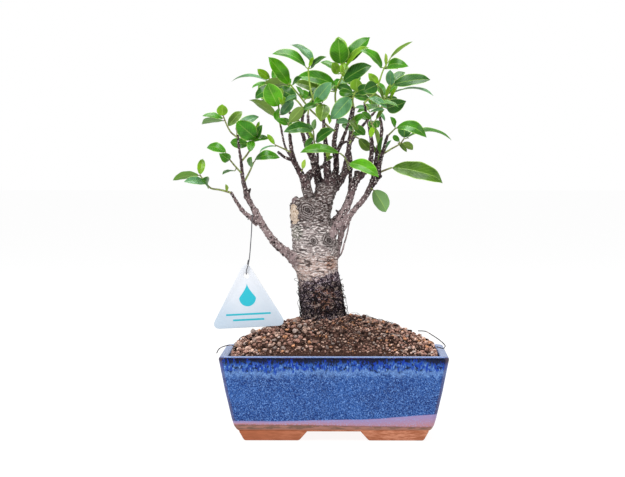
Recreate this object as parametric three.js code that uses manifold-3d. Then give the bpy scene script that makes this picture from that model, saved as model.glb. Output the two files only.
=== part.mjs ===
// A bonsai tree in a glazed pot: a thick pale trunk with many cut limbs, leafy shoots on wiry stems,
// a mound of coarse soil, a four-footed rectangular pot, and a plastic tag on a steel wire.
// Millimetres, +Z up, the front of the pot towards -Y.
import * as THREE from "three";
import { mergeVertices } from "three/addons/utils/BufferGeometryUtils.js";
import Module from "manifold-3d";

const wasm = await Module();
wasm.setup();

const GAP = 0.3; // clearance between pieces that rest against each other

// Pot: a tapered rectangle on four corner feet, 205 mm wide across the rim. Heights, here and in the tree,
// are from a level a little above the surface that the feet stand on.
const POT_HALF_WIDTH = 102.4;
const POT_HALF_DEPTH = 75;
const POT_HEIGHT = 75;
const POT_CORNER_RADIUS = 8;
const FEET_STAND_AT = -1.7;
// [inset from the rim's outline, height] up the outside, over the lip and down the inside
const POT_OUTSIDE = [[18.5, 6.8], [15.8, 8.8], [13.4, 12.5], [11.5, 19], [5.9, 44], [1.2, 69]];
const POT_LIP = [[0.5, 72.4], [1.3, 74.2], [3.2, 75], [6.6, 75], [8.6, 74.2], [9.7, 72.2]];
const POT_INSIDE = [[10.2, 69], [19, 23], [21.5, 17], [26, 14]];
const FOOT_TOP = { x: [23, 84.8], y: [18, 58.5], z: 7.8 };
const FOOT_BOTTOM = { x: [31, 80], y: [26, 53], z: FEET_STAND_AT };
const DRAIN_RADIUS = 7;
const DRAIN_X = 40;
const MESH_PAD = { size: 24, thick: 1.2 };

// Soil: fills the pot and mounds up round the trunk, which stands in a plain hole.
// [inset from the rim's outline, height] up its sides, a little clear of the pot's inner wall
const SOIL_SIDES = [[24.6, 16], [19.8, 22], [10.6, 69], [10.1, 72.2]];
const MOUND = { foot: 74, rise: 32, halfWidth: 98.4, halfDepth: 67 };
const HOLE = { x: -9.3, radius: 22.3, floor: 68 };
const SOIL_RINGS = 11;
const LUMPS = { height: 1.6, apart: 18, wander: 3 };

// Leaves: thin blades, folded a little along the midrib.
const BLADE_THICK = 0.7;
const BLADE_FOLD = 0.22; // rise of an edge for each mm from the midrib
const BLADE_STATIONS = [0.22, 0.52, 0.8, 1];
const PETIOLE_HALF_WIDTH = 0.5;

// Tag: a rounded triangle of thin plastic with a hole at its apex.
const TAG = { width: 62, height: 56, corner: 5, thick: 1.2, holeRadius: 2.5, holeDrop: 9.5, turn: 3 };
const TAG_HOLE_AT = [-78.7, -33.5, 144.4];

// Wire: hooks over the lower left limb, hangs, and turns back through the hole in the tag.
const WIRE_RADIUS = 0.45;
const WIRE_STEPS = 32;
const WIRE_ROUTE = [
  [-77.3, -30.7, 194.6], [-76.5, -29, 196.4], [-74.7, -29, 198.2], [-73.1, -31, 198.8],
  [-72.8, -33.2, 197.8], [-73.4, -34.4, 196], [-73.7, -34.6, 192], [-73.9, -34.6, 186],
  [-74.8, -34.6, 173], [-75.8, -35.2, 161], [-77, -35.8, 154], [-78.3, -36, 150],
  [-78.7, -35.4, 147], [-78.7, -33.5, 145.7], [-78.7, -31.6, 147], [-78.4, -31, 150],
  [-77.8, -31.2, 154], [-77, -32.8, 158.5],
];

const SIDES = { trunk: 16, limb: 6, twig: 4, stem: 4 };

// Limbs, each a row of [x, y, z, radius] from its root to its tip, roots sunk in what they grow from.
const LIMBS = {
  trunk: [
    [-8.5, 0, 69, 19], [-9, 0, 84.5, 19.5], [-9.5, 0, 98, 20.5], [-10, 0, 110, 19.3],
    [-12.5, 0, 128, 19], [-14, 0, 141.5, 18.6], [-16, 0, 151.5, 19.3], [-17.5, 0, 161.5, 20.4],
    [-17.5, 0, 170, 19.9], [-18.5, 0, 176, 19.6], [-20, 0, 185.5, 18.8], [-21.5, 0, 194.5, 18.4],
    [-22.5, 0, 203.5, 18.3], [-21, 0, 210, 16.5], [-19.5, 0, 213.5, 12.5],
  ],
  left: [
    [-28.5, -6, 152, 7.5], [-38, -12, 160.5, 4.8], [-45.5, -16, 166.5, 4], [-53, -20, 173, 3.6],
    [-59.5, -24, 182, 3.2], [-66.5, -28, 193.5, 3], [-70, -30, 200.5, 3.1], [-74.5, -31, 208.5, 2.2],
    [-78, -32, 215, 2.8], [-79.5, -33, 222, 2.1], [-81.5, -34, 229, 1.8], [-82.5, -35, 239, 1.5],
    [-83.5, -36, 249, 1.25], [-85, -38, 259, 1.1], [-86, -40, 270.5, 1],
  ],
  left_low: [
    [-69, -28, 190.5, 2.6], [-75.5, -32, 197, 2], [-80, -35, 200.5, 1.9], [-83.5, -38, 205, 1.7],
    [-87, -41, 210.5, 1.5], [-90, -43, 216, 1.35], [-92, -44, 219.5, 1.2],
  ],
  left_stub: [
    [-78.5, -32, 216, 1.6], [-76.5, -33, 219, 1], [-75, -33, 222.5, 0.8],
  ],
  front: [
    [-23, -4, 201, 6], [-25, -7, 212, 4.7], [-25.5, -9, 221, 4.1], [-26, -11, 229, 4.2],
  ],
  front_left: [
    [-26, -11, 227.5, 3.8], [-30.5, -14, 236.5, 2.7], [-36, -18, 246.5, 2.3], [-38.5, -22, 258, 1.8],
    [-40, -26, 271.5, 1.4],
  ],
  front_left_stub: [
    [-37, -19, 248, 1.6], [-44.5, -22, 250.5, 1.3], [-50.5, -25, 255.5, 1.2],
  ],
  front_left_twig: [
    [-37, -18, 249, 1.3], [-43, -12, 256.5, 1], [-46.5, -8, 268, 0.95], [-48.5, -5, 279, 0.9],
  ],
  bridge: [
    [-26, -10, 229, 3.8], [-22.5, -4, 234.5, 3.6], [-17, 4, 238, 3],
  ],
  middle: [
    [-16.5, 1, 200, 12.5], [-12.5, 1, 209, 10.8], [-8.5, 2, 216, 9], [-5, 3, 223.5, 7.2],
    [-3, 3, 230, 5.4], [-2, 3, 234.5, 3.8],
  ],
  middle_left: [
    [-6.5, 4, 219, 4.4], [-14, 6, 229, 3.9], [-17, 8, 239, 3.3], [-20.5, 13, 250, 2.5],
    [-25, 18, 258, 2.1], [-27.5, 22, 266.5, 1.8], [-30, 26, 275.5, 1.6], [-29.5, 30, 286.5, 1.35],
    [-28, 33, 296, 1.1],
  ],
  centre: [
    [-4.5, 1, 226, 4.4], [-6.5, -4, 238, 3.4], [-6.5, -8, 248, 3], [-7, -11, 255.5, 2.4],
    [-8, -15, 265, 2], [-9, -19, 274, 1.6], [-9.5, -22, 283, 1.3], [-9, -25, 293, 1.1],
  ],
  cross_tie: [
    [-16, 6, 239, 1.8], [-8.5, -4, 243.5, 1.7],
  ],
  front_twig: [
    [-16.5, 6, 239, 1.6], [-15, -3, 250, 1.1], [-16, -10, 260, 0.95],
  ],
  centre_right: [
    [-1.5, 6, 226, 4], [1.5, 10, 239, 2.8], [1.5, 14, 251, 2.4], [-0.5, 18, 263.5, 2.2],
    [1.5, 22, 274.5, 1.9], [3.5, 26, 285.5, 1.5], [5, 28, 292, 1.2],
  ],
  centre_fork: [
    [1, 14, 252.5, 2], [6, 5, 263, 1.7], [9, -3, 270.5, 1.5], [11.5, -10, 277, 1.25],
    [14, -16, 286, 1.05], [16.5, -21, 296.5, 0.95],
  ],
  centre_fork_back: [
    [6.5, 5, 263.5, 1.2], [13, 12, 265.5, 1], [18, 20, 270.5, 0.9],
  ],
  right_back: [
    [-8.5, 6, 186, 4.2], [1, 12, 194.5, 2.3], [7, 16, 202, 1.9], [11.5, 19, 211.5, 1.7],
    [14, 21, 220.5, 1.6], [14.5, 23, 231.5, 1.6], [15, 26, 243.5, 1.5], [15, 29, 250.5, 1.4],
    [13.5, 33, 258, 1.2], [13.5, 36, 262.5, 1.05],
  ],
  right_back_stub: [
    [4.5, 14, 199, 1], [1.5, 18, 202, 0.75],
  ],
  right_arm: [
    [-2, 4, 224.5, 3.6], [6, 10, 232, 2.6], [11.5, 17, 236.5, 2], [14.5, 24, 240.5, 1.5],
  ],
  right: [
    [-13, -7, 166.5, 7], [-5, -9, 176.5, 4.8], [1.5, -11, 186.5, 3.9], [7, -12, 197, 3.5],
    [12, -12, 207.5, 3.3], [15.5, -12, 218, 3.2], [18.5, -12, 227.5, 3.1], [23, -12, 234, 3],
  ],
  right_stub: [
    [19.5, -12, 228, 2.7], [20.5, -12, 233.5, 2.6], [20.5, -12, 238, 2.4],
  ],
  right_up: [
    [21.5, -12, 232, 3], [27.5, -12, 237, 2.4], [31.5, -12, 241.5, 2.3], [33.5, -14, 251.5, 2.1],
    [34, -17, 261.5, 1.9], [32.5, -20, 272.5, 1.6], [30.5, -23, 282.5, 1.3], [28.5, -26, 291, 1.1],
    [27, -29, 300, 0.95],
  ],
  outer: [
    [-4, -2, 152, 4.5], [2.5, 1, 164, 2.7], [5, 4, 175, 2.4], [8, 6, 185, 2.5],
    [13.5, 8, 196, 2.6], [19, 9, 203.5, 2.4], [24.5, 10, 209.5, 2.4], [29.5, 11, 216.5, 2.5],
    [33, 12, 223.5, 2.7], [36.5, 12, 229.5, 3.4], [38, 12, 235, 3.7],
  ],
  outer_mid: [
    [37.5, 12, 232.5, 3.2], [38.5, 15, 245.5, 2.5], [40, 20, 257, 2.2], [42.5, 25, 268, 1.8],
    [43.5, 29, 277, 1.5], [42, 33, 286, 1.3], [41.5, 35, 291, 1.1],
  ],
  outer_right: [
    [39, 11, 232.5, 2.8], [42, 5, 248, 1.8], [45, 0, 258.5, 1.5], [46.5, -4, 265, 1.35],
    [48.5, -7, 270.5, 1.2],
  ],
  outer_knob: [
    [38.5, 10, 232, 2.4], [42.5, 6, 233.5, 1.6],
  ],
  air_root: [
    [1, -5, 158, 1], [6, -8, 162.5, 0.8], [9, -7, 172, 0.75], [12, -2, 182.5, 0.7],
    [14, 6, 194, 0.8],
  ],
  back_left: [
    [-16, 10, 205, 6.5], [-13.5, 22, 219.5, 4], [-16, 34, 237, 3], [-21, 45, 257, 2.2],
    [-24, 54, 276, 1.6], [-25, 60, 290, 1.2],
  ],
  back_left_fork: [
    [-23, 52, 271, 1.5], [-35, 60, 285, 1.3], [-46.5, 66, 296.5, 1.05],
  ],
  back_right: [
    [-5, 7, 218, 5], [7, 26, 231.5, 3.2], [11.5, 42, 248, 2.6], [14, 54, 266.5, 1.9],
    [16, 62, 283.5, 1.4], [18, 66, 296.5, 1.1],
  ],
  back_right_fork: [
    [14, 53, 263.5, 1.5], [24.5, 62, 278, 1.3], [37.5, 68, 293, 1.05],
  ],
};

// Leafy shoots. girth is the stem's radius at its root and its tip. A leaf is [base, tip, width, show, arch]:
// show is the share of its upper side turned to the front (below 0 the underside), arch its rise in mm.
const SHOOTS = [
  {
    name: "left_low_tip",
    girth: [1, 0.7],
    stem: [[-92, -44, 219], [-101.5, -43, 221.5], [-110, -42, 223], [-114, -42, 227], [-119.5, -44, 234.5]],
    leaves: [
      [[-120.5, -44, 234.5], [-144, -40, 230], 11, -0.6, 2.2],
      [[-114.5, -42, 227.5], [-132.5, -54, 229], 10, 0.7, 1.8],
      [[-113.5, -44, 226], [-116.5, -66, 230.5], 10.5, 0.6, 2.7],
      [[-119.5, -44, 235.5], [-117.5, -40, 249.5], 7, 1, 0.9],
      [[-95.5, -44, 220.5], [-96.5, -48, 226.5], 3.5, 0.8, 0.5],
    ],
  },
  {
    name: "left_mid",
    girth: [0.95, 0.65],
    stem: [[-82.5, -35, 236], [-87, -38, 241], [-93, -42, 248.5], [-96, -43, 253.5]],
    leaves: [
      [[-88.5, -40, 238.5], [-99, -50, 236], 7, 0.3, 0.9],
      [[-93.5, -43, 248], [-100.5, -60, 254], 9, 1, 0.9],
      [[-96.5, -43, 255.5], [-114, -34, 260], 9.5, 0.9, 3.6],
    ],
  },
  {
    name: "left_inner",
    girth: [0.95, 0.65],
    stem: [[-80.5, -34, 228.5], [-76, -28, 237.5], [-72.5, -22, 246]],
    leaves: [
      [[-75, -26, 242], [-74.5, -38, 251], 7, 0.8, 0.5],
      [[-71, -21, 249], [-49, -28, 250], 10.5, 0.8, 4.5],
    ],
  },
  {
    name: "left_top",
    girth: [0.95, 0.65],
    stem: [[-83.5, -36, 246], [-76, -28, 256.5], [-73, -22, 267], [-71, -19, 274]],
    leaves: [
      [[-77, -28, 257.5], [-93, -20, 262.5], 8.5, 1, 1.8],
      [[-73.5, -24, 263.5], [-60.5, -18, 267], 7, 0.4, 1.8],
      [[-74, -25, 265.5], [-75.5, -38, 255.5], 7.5, 1, 0.9],
      [[-73, -22, 270], [-85, -32, 280], 12.5, 1, 1.8],
      [[-70.5, -21, 269], [-64.5, -31, 278.5], 7, 0.9, 0.9],
      [[-72.5, -19, 269.5], [-82, -8, 274.5], 7, 0.8, 0.9],
      [[-70, -18, 274.5], [-67.5, -17, 283], 4, 0.8, 0],
    ],
  },
  {
    name: "left_crown",
    girth: [0.9, 0.6],
    stem: [[-86, -40, 268], [-92, -44, 273], [-95.5, -47, 279.5], [-98.5, -49, 287.5]],
    leaves: [
      [[-99, -49, 287.5], [-99.5, -53, 297.5], 10, 1, 0],
      [[-99, -49, 285], [-116.5, -55, 287], 8.5, 0.6, 1.8],
      [[-98, -48, 283], [-118.5, -38, 281.5], 10.5, -0.4, 0.9],
      [[-94, -45, 278.5], [-82.5, -38, 292], 9, -1, 0.9],
      [[-90, -43, 274.5], [-73.5, -50, 287], 10, 0.9, 0.9],
    ],
  },
  {
    name: "inner_left",
    girth: [0.9, 0.65],
    stem: [[-48.5, -5, 277.5], [-50, -4, 286], [-50.5, -4, 296], [-50.5, -5, 301.5]],
    leaves: [
      [[-52.5, -6, 299], [-61.5, -16, 315.5], 13.5, 1, 0.9],
      [[-50, -5, 302.5], [-48, -3, 313.5], 5.5, 1, 0],
      [[-50, -6, 295], [-51, -18, 283.5], 8, 0.7, 1.8],
      [[-52, -4, 301.5], [-72.5, 6, 305], 10.5, 0.8, 2.7],
      [[-53, -3, 296], [-68.5, 12, 301.5], 10.5, -0.4, 0.9],
      [[-49, -5, 301], [-35, -14, 309.5], 11, 1, 1.8],
      [[-48.5, -4, 289], [-37.5, 4, 303], 9, 1, 0.9],
      [[-53, -6, 288.5], [-75, -18, 303], 13.5, -0.3, 1.8],
    ],
  },
  {
    name: "inner_low_left",
    girth: [0.85, 0.6],
    stem: [[-38, -21, 254.5], [-46, -27, 258.5], [-52.5, -31, 261.5]],
    leaves: [
      [[-53.5, -31, 262.5], [-60, -34, 271], 5, 0.8, 0],
      [[-52, -31, 260.5], [-67, -38, 254.5], 8, 0.6, 1.8],
    ],
  },
  {
    name: "spur_low",
    girth: [0.8, 0.6],
    stem: [[-30.5, -14, 236.5], [-28.5, -19, 240]],
    leaves: [
      [[-28.5, -19, 240.5], [-26, -24, 248.5], 4.5, 0.9, 0],
    ],
  },
  {
    name: "middle_twig",
    girth: [0.9, 0.65],
    stem: [[-16, -10, 259], [-18, -13, 263.5], [-18.5, -16, 271.5], [-19, -17, 275]],
    leaves: [
      [[-20.5, -17, 274.5], [-44.5, -34, 272.5], 13.5, 0.8, 5.4],
      [[-16.5, -15, 265], [-1, -31, 275.5], 11.5, 0.8, 1.8],
      [[-19, -16, 268.5], [-23, -22, 272.5], 4, 0.8, 0],
      [[-18.5, -17, 276], [-17, -12, 285], 5, -0.9, 0.9],
    ],
  },
  {
    name: "front_left_tip",
    girth: [0.9, 0.65],
    stem: [[-40, -26, 271], [-40.5, -28, 277], [-41, -29, 281]],
    leaves: [
      [[-40, -30, 282], [-28, -38, 295.5], 10, -1, 0.9],
      [[-42, -29, 280.5], [-52, -38, 284], 6.5, 0.9, 0.9],
    ],
  },
  {
    name: "tall_left",
    girth: [1.1, 0.7],
    stem: [[0.5, 21, 274.5], [-5, 16, 278], [-14, 12, 286.5], [-22, 8, 294], [-31, 4, 305.5], [-40, 0, 316.5]],
    leaves: [
      [[-41.5, -1, 318.5], [-59.5, -12, 340.5], 14, 0.9, 1.8],
      [[-42, 1, 316.5], [-65, 14, 315.5], 12, -0.7, 2.7],
      [[-38, -1, 316.5], [-30, -14, 322.5], 7.5, 0.6, 0.9],
      [[-29.5, 5, 306.5], [-35, 16, 316], 7, 0.6, 0.9],
    ],
  },
  {
    name: "tall_left_back",
    girth: [0.95, 0.65],
    stem: [[-28.5, 32.5, 295], [-34.5, 36, 302.5], [-41.5, 39, 308], [-50.5, 43, 315.5], [-58.5, 46, 321.5]],
    leaves: [
      [[-62, 47, 321.5], [-96.5, 56, 321.5], 14.5, 0.4, 4.5],
      [[-60.5, 46, 323.5], [-71.5, 40, 331.5], 7.5, 1, 0],
      [[-56, 44, 319], [-76.5, 32, 315], 11, 0.4, 0.9],
      [[-57.5, 46, 323.5], [-52, 56, 335.5], 7.5, 1, 0.9],
      [[-44, 41, 311.5], [-41.5, 52, 324], 8, 0.8, 0.9],
    ],
  },
  {
    name: "tall_centre",
    girth: [1, 0.65],
    stem: [[-9, -24.5, 292], [-10.5, -28, 295], [-16.5, -27, 299.5], [-20.5, -25, 309], [-22.5, -22, 320], [-23.5, -21, 330]],
    leaves: [
      [[-26, -21, 332.5], [-55.5, -26, 343.5], 15, 0.6, 5.4],
      [[-19, -19, 334.5], [-40, -8, 353], 14, 0.5, 3.6],
      [[-22.5, -22, 332.5], [-18.5, -28, 340], 5, 0.7, 0],
      [[-21, -21, 330.5], [-7.5, -34, 340], 9.5, 0.6, 1.8],
      [[-24, -23, 318.5], [-43, -34, 323.5], 10.5, 0.8, 1.8],
      [[-17, -27, 301], [-3, -38, 317.5], 12.5, 1, 0.9],
      [[-10, -29.5, 293], [-11.5, -41, 277], 13.5, 1, 1.8],
      [[-9, -29, 293], [-3.5, -33, 280.5], 6.5, 0.5, 0.9],
    ],
  },
  {
    name: "top",
    girth: [1.05, 0.7],
    stem: [[5, 27.5, 291], [1.5, 26, 298.5], [1, 23, 310.5], [6, 19, 322.5], [8.5, 17, 329.5], [7, 16, 335]],
    leaves: [
      [[5.5, 15, 336.5], [3.5, 5, 357.5], 16.5, 1, 0.9],
      [[7.5, 17, 337.5], [3.5, 30, 362], 13, 0.9, 0.9],
      [[9.5, 16, 337.5], [32.5, 10, 359.5], 15, 0.9, 1.8],
      [[10, 14, 330.5], [30, -2, 351], 15, 0.4, 2.7],
      [[8.5, 17, 320.5], [33, 2, 334.5], 15, 0.9, 1.8],
      [[4.5, 15, 332], [-1.5, 2, 337.5], 7, 0.9, 0],
      [[3, 19, 329.5], [-12.5, 30, 339], 10, 0.6, 0.9],
      [[-0.5, 20, 317.5], [-33, 6, 324], 14.5, 0.8, 6.3],
      [[3.5, 24, 314], [15, 38, 324.5], 9.5, 0.8, 0.9],
    ],
  },
  {
    name: "right_top",
    girth: [0.95, 0.65],
    stem: [[27, -29, 299.5], [35.5, -32, 307], [40, -34, 317], [43.5, -35, 327.5], [46, -35, 332.5]],
    leaves: [
      [[42.5, -35, 330.5], [24, -44, 346.5], 12, 0.7, 3.6],
      [[46, -35, 333.5], [46, -36, 343.5], 4.5, 0.7, 0],
      [[48, -35, 335.5], [72, -40, 353], 14, 0.5, 1.8],
      [[47.5, -36, 331], [65.5, -52, 331.5], 11, 0.9, 5.4],
      [[43, -33, 326.5], [32, -24, 331.5], 7.5, -1, 1.8],
      [[39, -34, 316.5], [30.5, -40, 325], 7.5, 1, 0.9],
      [[38, -36, 315], [26.5, -50, 309.5], 12, 1, 0.9],
    ],
  },
  {
    name: "right_upper",
    girth: [0.95, 0.65],
    stem: [[42, 34.5, 290], [44.5, 33, 299.5], [50, 31, 310.5], [51.5, 30, 315]],
    leaves: [
      [[51.5, 30, 316.5], [51, 26, 330.5], 8.5, 1, 0],
      [[54, 30, 317.5], [87.5, 20, 322], 14, 0.8, 1.8],
      [[52.5, 33, 319.5], [64.5, 46, 330], 9.5, 0.8, 0.9],
      [[52.5, 30, 309.5], [90, 16, 307], 16, 0.2, 4.5],
      [[48, 31, 295.5], [65, 12, 300.5], 13.5, 1, 1.8],
      [[47.5, 34, 299.5], [62.5, 52, 296.5], 11, 0.5, 0.9],
      [[41.5, 35, 303], [29, 48, 309.5], 9, -0.8, 0.9],
      [[40.5, 34, 297], [20.5, 40, 292], 10, 0.6, 1.8],
    ],
  },
  {
    name: "centre_fork_tip",
    girth: [0.9, 0.65],
    stem: [[16.5, -20.5, 295.5], [17, -22, 304], [19, -23, 309]],
    leaves: [
      [[19.5, -23, 310.5], [20.5, -27, 321], 11, 1, 0],
      [[21, -24, 309.5], [33, -34, 314], 10, 1, 0.9],
      [[16.5, -23, 308], [4, -16, 309], 7.5, 1, 1.8],
      [[18.5, -22, 304.5], [32, -14, 302.5], 7, 0.9, 1.8],
      [[14.5, -24, 304], [-2.5, -33, 284.5], 14.5, 1, 2.7],
    ],
  },
  {
    name: "right_low",
    girth: [0.9, 0.65],
    stem: [[43.5, 2, 253], [51.5, 4, 258], [60, 6, 263], [63.5, 7, 267.5]],
    leaves: [
      [[59, 6, 265], [53.5, 14, 270.5], 5, 1, 0],
      [[62, 5, 263], [72, -6, 258.5], 7, -0.9, 0.9],
      [[63.5, 8, 269], [63, 18, 279], 10, 1, 0.9],
      [[65.5, 7, 268], [107, 8, 266.5], 16.5, 0.2, 7.2],
    ],
  },
  {
    name: "right_out",
    girth: [0.85, 0.65],
    stem: [[48.5, -6.5, 270], [52, -10, 273.5], [55, -12, 276.5]],
    leaves: [
      [[56.5, -13, 277.5], [83, -20, 269], 13.5, 0.8, 7.2],
      [[55, -13, 278.5], [50.5, -22, 286.5], 6, 0.8, 0.9],
    ],
  },
  {
    name: "right_side",
    girth: [1, 0.8],
    stem: [[39.5, 12, 236], [45.5, 9, 238.5], [52, 7, 241]],
    leaves: [
      [[53, 6.5, 241], [99, -2, 230], 19, 0.7, 2.7],
    ],
  },
  {
    name: "spur_outer",
    girth: [0.8, 0.6],
    stem: [[39, 15.5, 247.5], [41.5, 22, 250.5]],
    leaves: [
      [[42, 23, 250.5], [47, 30, 260], 6, 0.7, 0],
    ],
  },
  {
    name: "middle_right",
    girth: [0.95, 0.7],
    stem: [[14, 22, 238.5], [12.5, 10, 241], [12, -3, 245], [9, -13, 251], [5.5, -18, 254]],
    leaves: [
      [[14, -10, 245], [39.5, -27, 233.5], 15, 0.8, 4.5],
      [[4, -18.5, 254.5], [-30.5, -25, 255.5], 14, 0.6, 3.6],
    ],
  },
  {
    name: "hanging",
    girth: [0.9, 0.7],
    stem: [[33, 12, 222.5], [35, 5, 221]],
    leaves: [
      [[36, 3, 220], [46.5, -4, 201], 12.5, 1, 1.8],
    ],
  },
  {
    name: "spur_right",
    girth: [0.8, 0.6],
    stem: [[31.5, -22, 278], [33.5, -27, 280], [35, -29, 278.5]],
    leaves: [
      [[34.5, -29.5, 277.5], [32.5, -35, 268.5], 5, 1, 0],
      [[34, -27, 281.5], [41.5, -16, 280], 6.5, 1, 0.9],
      [[36, -29, 277.5], [39, -24, 263], 7, -0.6, 0.9],
    ],
  },
  {
    name: "fork_side",
    girth: [0.8, 0.6],
    stem: [[12, -11, 278.5], [16, -16, 281], [17.5, -18, 283]],
    leaves: [
      [[17, -17, 280], [28.5, -12, 271], 7.5, 1, 0.9],
      [[18.5, -19, 283.5], [26, -27, 290], 5.5, 1, 0],
      [[13, -18, 282], [1.5, -8, 283], 7, 0.8, 0.9],
    ],
  },
  {
    name: "back_fork_side",
    girth: [0.8, 0.6],
    stem: [[17.5, 20, 270], [22, 26, 268]],
    leaves: [
      [[22.5, 26, 267.5], [33, 34, 256.5], 9, 1, 0.9],
    ],
  },
  {
    name: "spur_centre",
    girth: [0.75, 0.6],
    stem: [[-6.5, -8, 247.5], [-5.5, -13, 249.5]],
    leaves: [
      [[-5.5, -14, 250], [-6, -21, 258.5], 5, 0.8, 0],
    ],
  },
  {
    name: "back_left_tip",
    girth: [0.9, 0.65],
    stem: [[-25, 60, 289.5], [-24, 65, 298.5], [-19.5, 69, 308]],
    leaves: [
      [[-19, 69.5, 309.5], [-10, 78, 320], 9, 1, 0.9],
      [[-22, 68, 306], [-33.5, 78, 312], 8, 1, 0.9],
      [[-24, 67, 301.5], [-12, 80, 299.5], 8, 0.9, 0.9],
      [[-25, 64, 296.5], [-34.5, 76, 292], 7.5, 1, 1.8],
      [[-20.5, 66, 305], [-15.5, 54, 315], 7.5, 1, 0.9],
    ],
  },
  {
    name: "back_left_far",
    girth: [0.9, 0.65],
    stem: [[-46.5, 65.5, 296], [-52.5, 70, 303], [-59, 73, 309]],
    leaves: [
      [[-60.5, 73.5, 310], [-72.5, 80, 317.5], 8, 1, 0.9],
      [[-57, 73, 308], [-47, 82, 317.5], 8, 1, 0.9],
      [[-53.5, 71, 303], [-67, 82, 298.5], 8, 0.9, 1.8],
      [[-50, 69, 301], [-39.5, 80, 298], 7.5, 1, 0.9],
      [[-57.5, 72, 307], [-68, 58, 305], 8, 0.8, 0.9],
    ],
  },
  {
    name: "back_right_tip",
    girth: [0.9, 0.65],
    stem: [[18, 65.5, 296], [16, 70, 306], [11.5, 73, 315.5], [10.5, 75, 323]],
    leaves: [
      [[10.5, 75, 324.5], [7.5, 80, 340], 9, 1, 0.9],
      [[12, 75, 319.5], [24.5, 84, 327], 8, 1, 0.9],
      [[11, 72, 316], [-1, 80, 323], 8, 1, 0.9],
      [[14, 72, 310], [27.5, 82, 306.5], 8, 0.9, 1.8],
      [[15, 69, 306.5], [5, 80, 298.5], 8, 0.9, 1.8],
    ],
  },
  {
    name: "back_right_far",
    girth: [0.9, 0.65],
    stem: [[37.5, 67.5, 292.5], [42.5, 71, 301.5], [48, 74, 309]],
    leaves: [
      [[49, 74.5, 310.5], [58.5, 80, 319.5], 8, 1, 0.9],
      [[47, 74, 308.5], [40.5, 82, 320.5], 8, 1, 0.9],
      [[45.5, 73, 304.5], [59.5, 82, 304.5], 7.5, 1, 0.9],
      [[41.5, 71, 300.5], [31, 80, 306], 7.5, 1, 0.9],
      [[44.5, 71, 303.5], [52.5, 58, 300.5], 7, 0.9, 0.9],
    ],
  },
  {
    name: "back_crown",
    girth: [0.85, 0.65],
    stem: [[13.5, 35.5, 262], [16, 40, 269], [17.5, 43, 276.5]],
    leaves: [
      [[17.5, 43.5, 278], [20.5, 50, 289], 6.5, 1, 0.9],
      [[16.5, 42.5, 275], [7, 52, 281.5], 7, 0.9, 0.9],
      [[17, 40, 271.5], [27, 48, 276], 6.5, 1, 0.9],
    ],
  },
];

const UP = new THREE.Vector3(0, 0, 1);
const FRONT = new THREE.Vector3(0, -1, 0);
const vector = ([x, y, z]) => new THREE.Vector3(x, y, z);

// ---- solids ----------------------------------------------------------------------------------

// A closed geometry as a solid, with shared vertices merged and collapsed triangles dropped.
function solid(geometry) {
  const bare = new THREE.BufferGeometry().setAttribute("position", geometry.getAttribute("position"));
  bare.setIndex(geometry.index);
  const merged = mergeVertices(bare, 1e-4);
  const corners = [];
  for (let i = 0; i < merged.index.count; i += 3) {
    const [a, b, c] = [0, 1, 2].map((k) => merged.index.getX(i + k));
    if (a !== b && b !== c && c !== a) corners.push(a, b, c);
  }
  return new wasm.Manifold(
    new wasm.Mesh({
      numProp: 3,
      vertProperties: new Float32Array(merged.getAttribute("position").array),
      triVerts: new Uint32Array(corners),
    }),
  );
}

function geometryOf(body) {
  const { vertProperties, triVerts } = body.getMesh();
  const geometry = new THREE.BufferGeometry();
  geometry.setAttribute("position", new THREE.BufferAttribute(new Float32Array(vertProperties), 3));
  geometry.setIndex(new THREE.BufferAttribute(new Uint32Array(triVerts), 1));
  geometry.computeVertexNormals();
  return geometry;
}

function largestBody(body) {
  return body.decompose().sort((a, b) => b.volume() - a.volume())[0];
}

function union(bodies) {
  return bodies.reduce((whole, body) => whole.add(body));
}

function indexedGeometry(points, faces) {
  const geometry = new THREE.BufferGeometry().setFromPoints(points);
  geometry.setIndex(faces);
  return geometry;
}

// A closed body through rings with one count of points, each turning anticlockwise seen from the end.
function loft(rings) {
  const count = rings[0].length;
  const faces = [];
  for (let i = 0; i + 1 < rings.length; i++)
    for (let j = 0; j < count; j++) {
      const [a, b] = [i * count + j, i * count + ((j + 1) % count)];
      const [c, d] = [b + count, a + count];
      faces.push(a, b, c, a, c, d);
    }
  const last = (rings.length - 1) * count;
  const points = rings.flat();
  const [bottom, top] = [points.length, points.length + 1];
  for (const ring of [rings[0], rings[rings.length - 1]]) {
    const middle = new THREE.Vector3();
    for (const point of ring) middle.addScaledVector(point, 1 / count);
    points.push(middle);
  }
  for (let j = 0; j < count; j++) {
    const next = (j + 1) % count;
    faces.push(bottom, next, j, top, last + j, last + next);
  }
  return solid(indexedGeometry(points, faces));
}

// A round body along a row of points, its radius given at each.
function taperedRod(path, radii, sides, relief = () => 1) {
  const tangentAt = (i) =>
    path[Math.min(i + 1, path.length - 1)].clone().sub(path[Math.max(i - 1, 0)]).normalize();
  let across = new THREE.Vector3().crossVectors(FRONT, tangentAt(0)).normalize();
  const rings = path.map((centre, i) => {
    const tangent = tangentAt(i);
    across = across.clone().addScaledVector(tangent, -across.dot(tangent)).normalize();
    const over = new THREE.Vector3().crossVectors(tangent, across);
    return Array.from({ length: sides }, (_, j) => {
      const angle = (2 * Math.PI * j) / sides;
      const reach = radii[i] * relief(angle, centre.z);
      return centre
        .clone()
        .addScaledVector(across, reach * Math.cos(angle))
        .addScaledVector(over, reach * Math.sin(angle));
    });
  });
  return loft(rings);
}

// ---- pot and what lies in it -------------------------------------------------------------------

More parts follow.
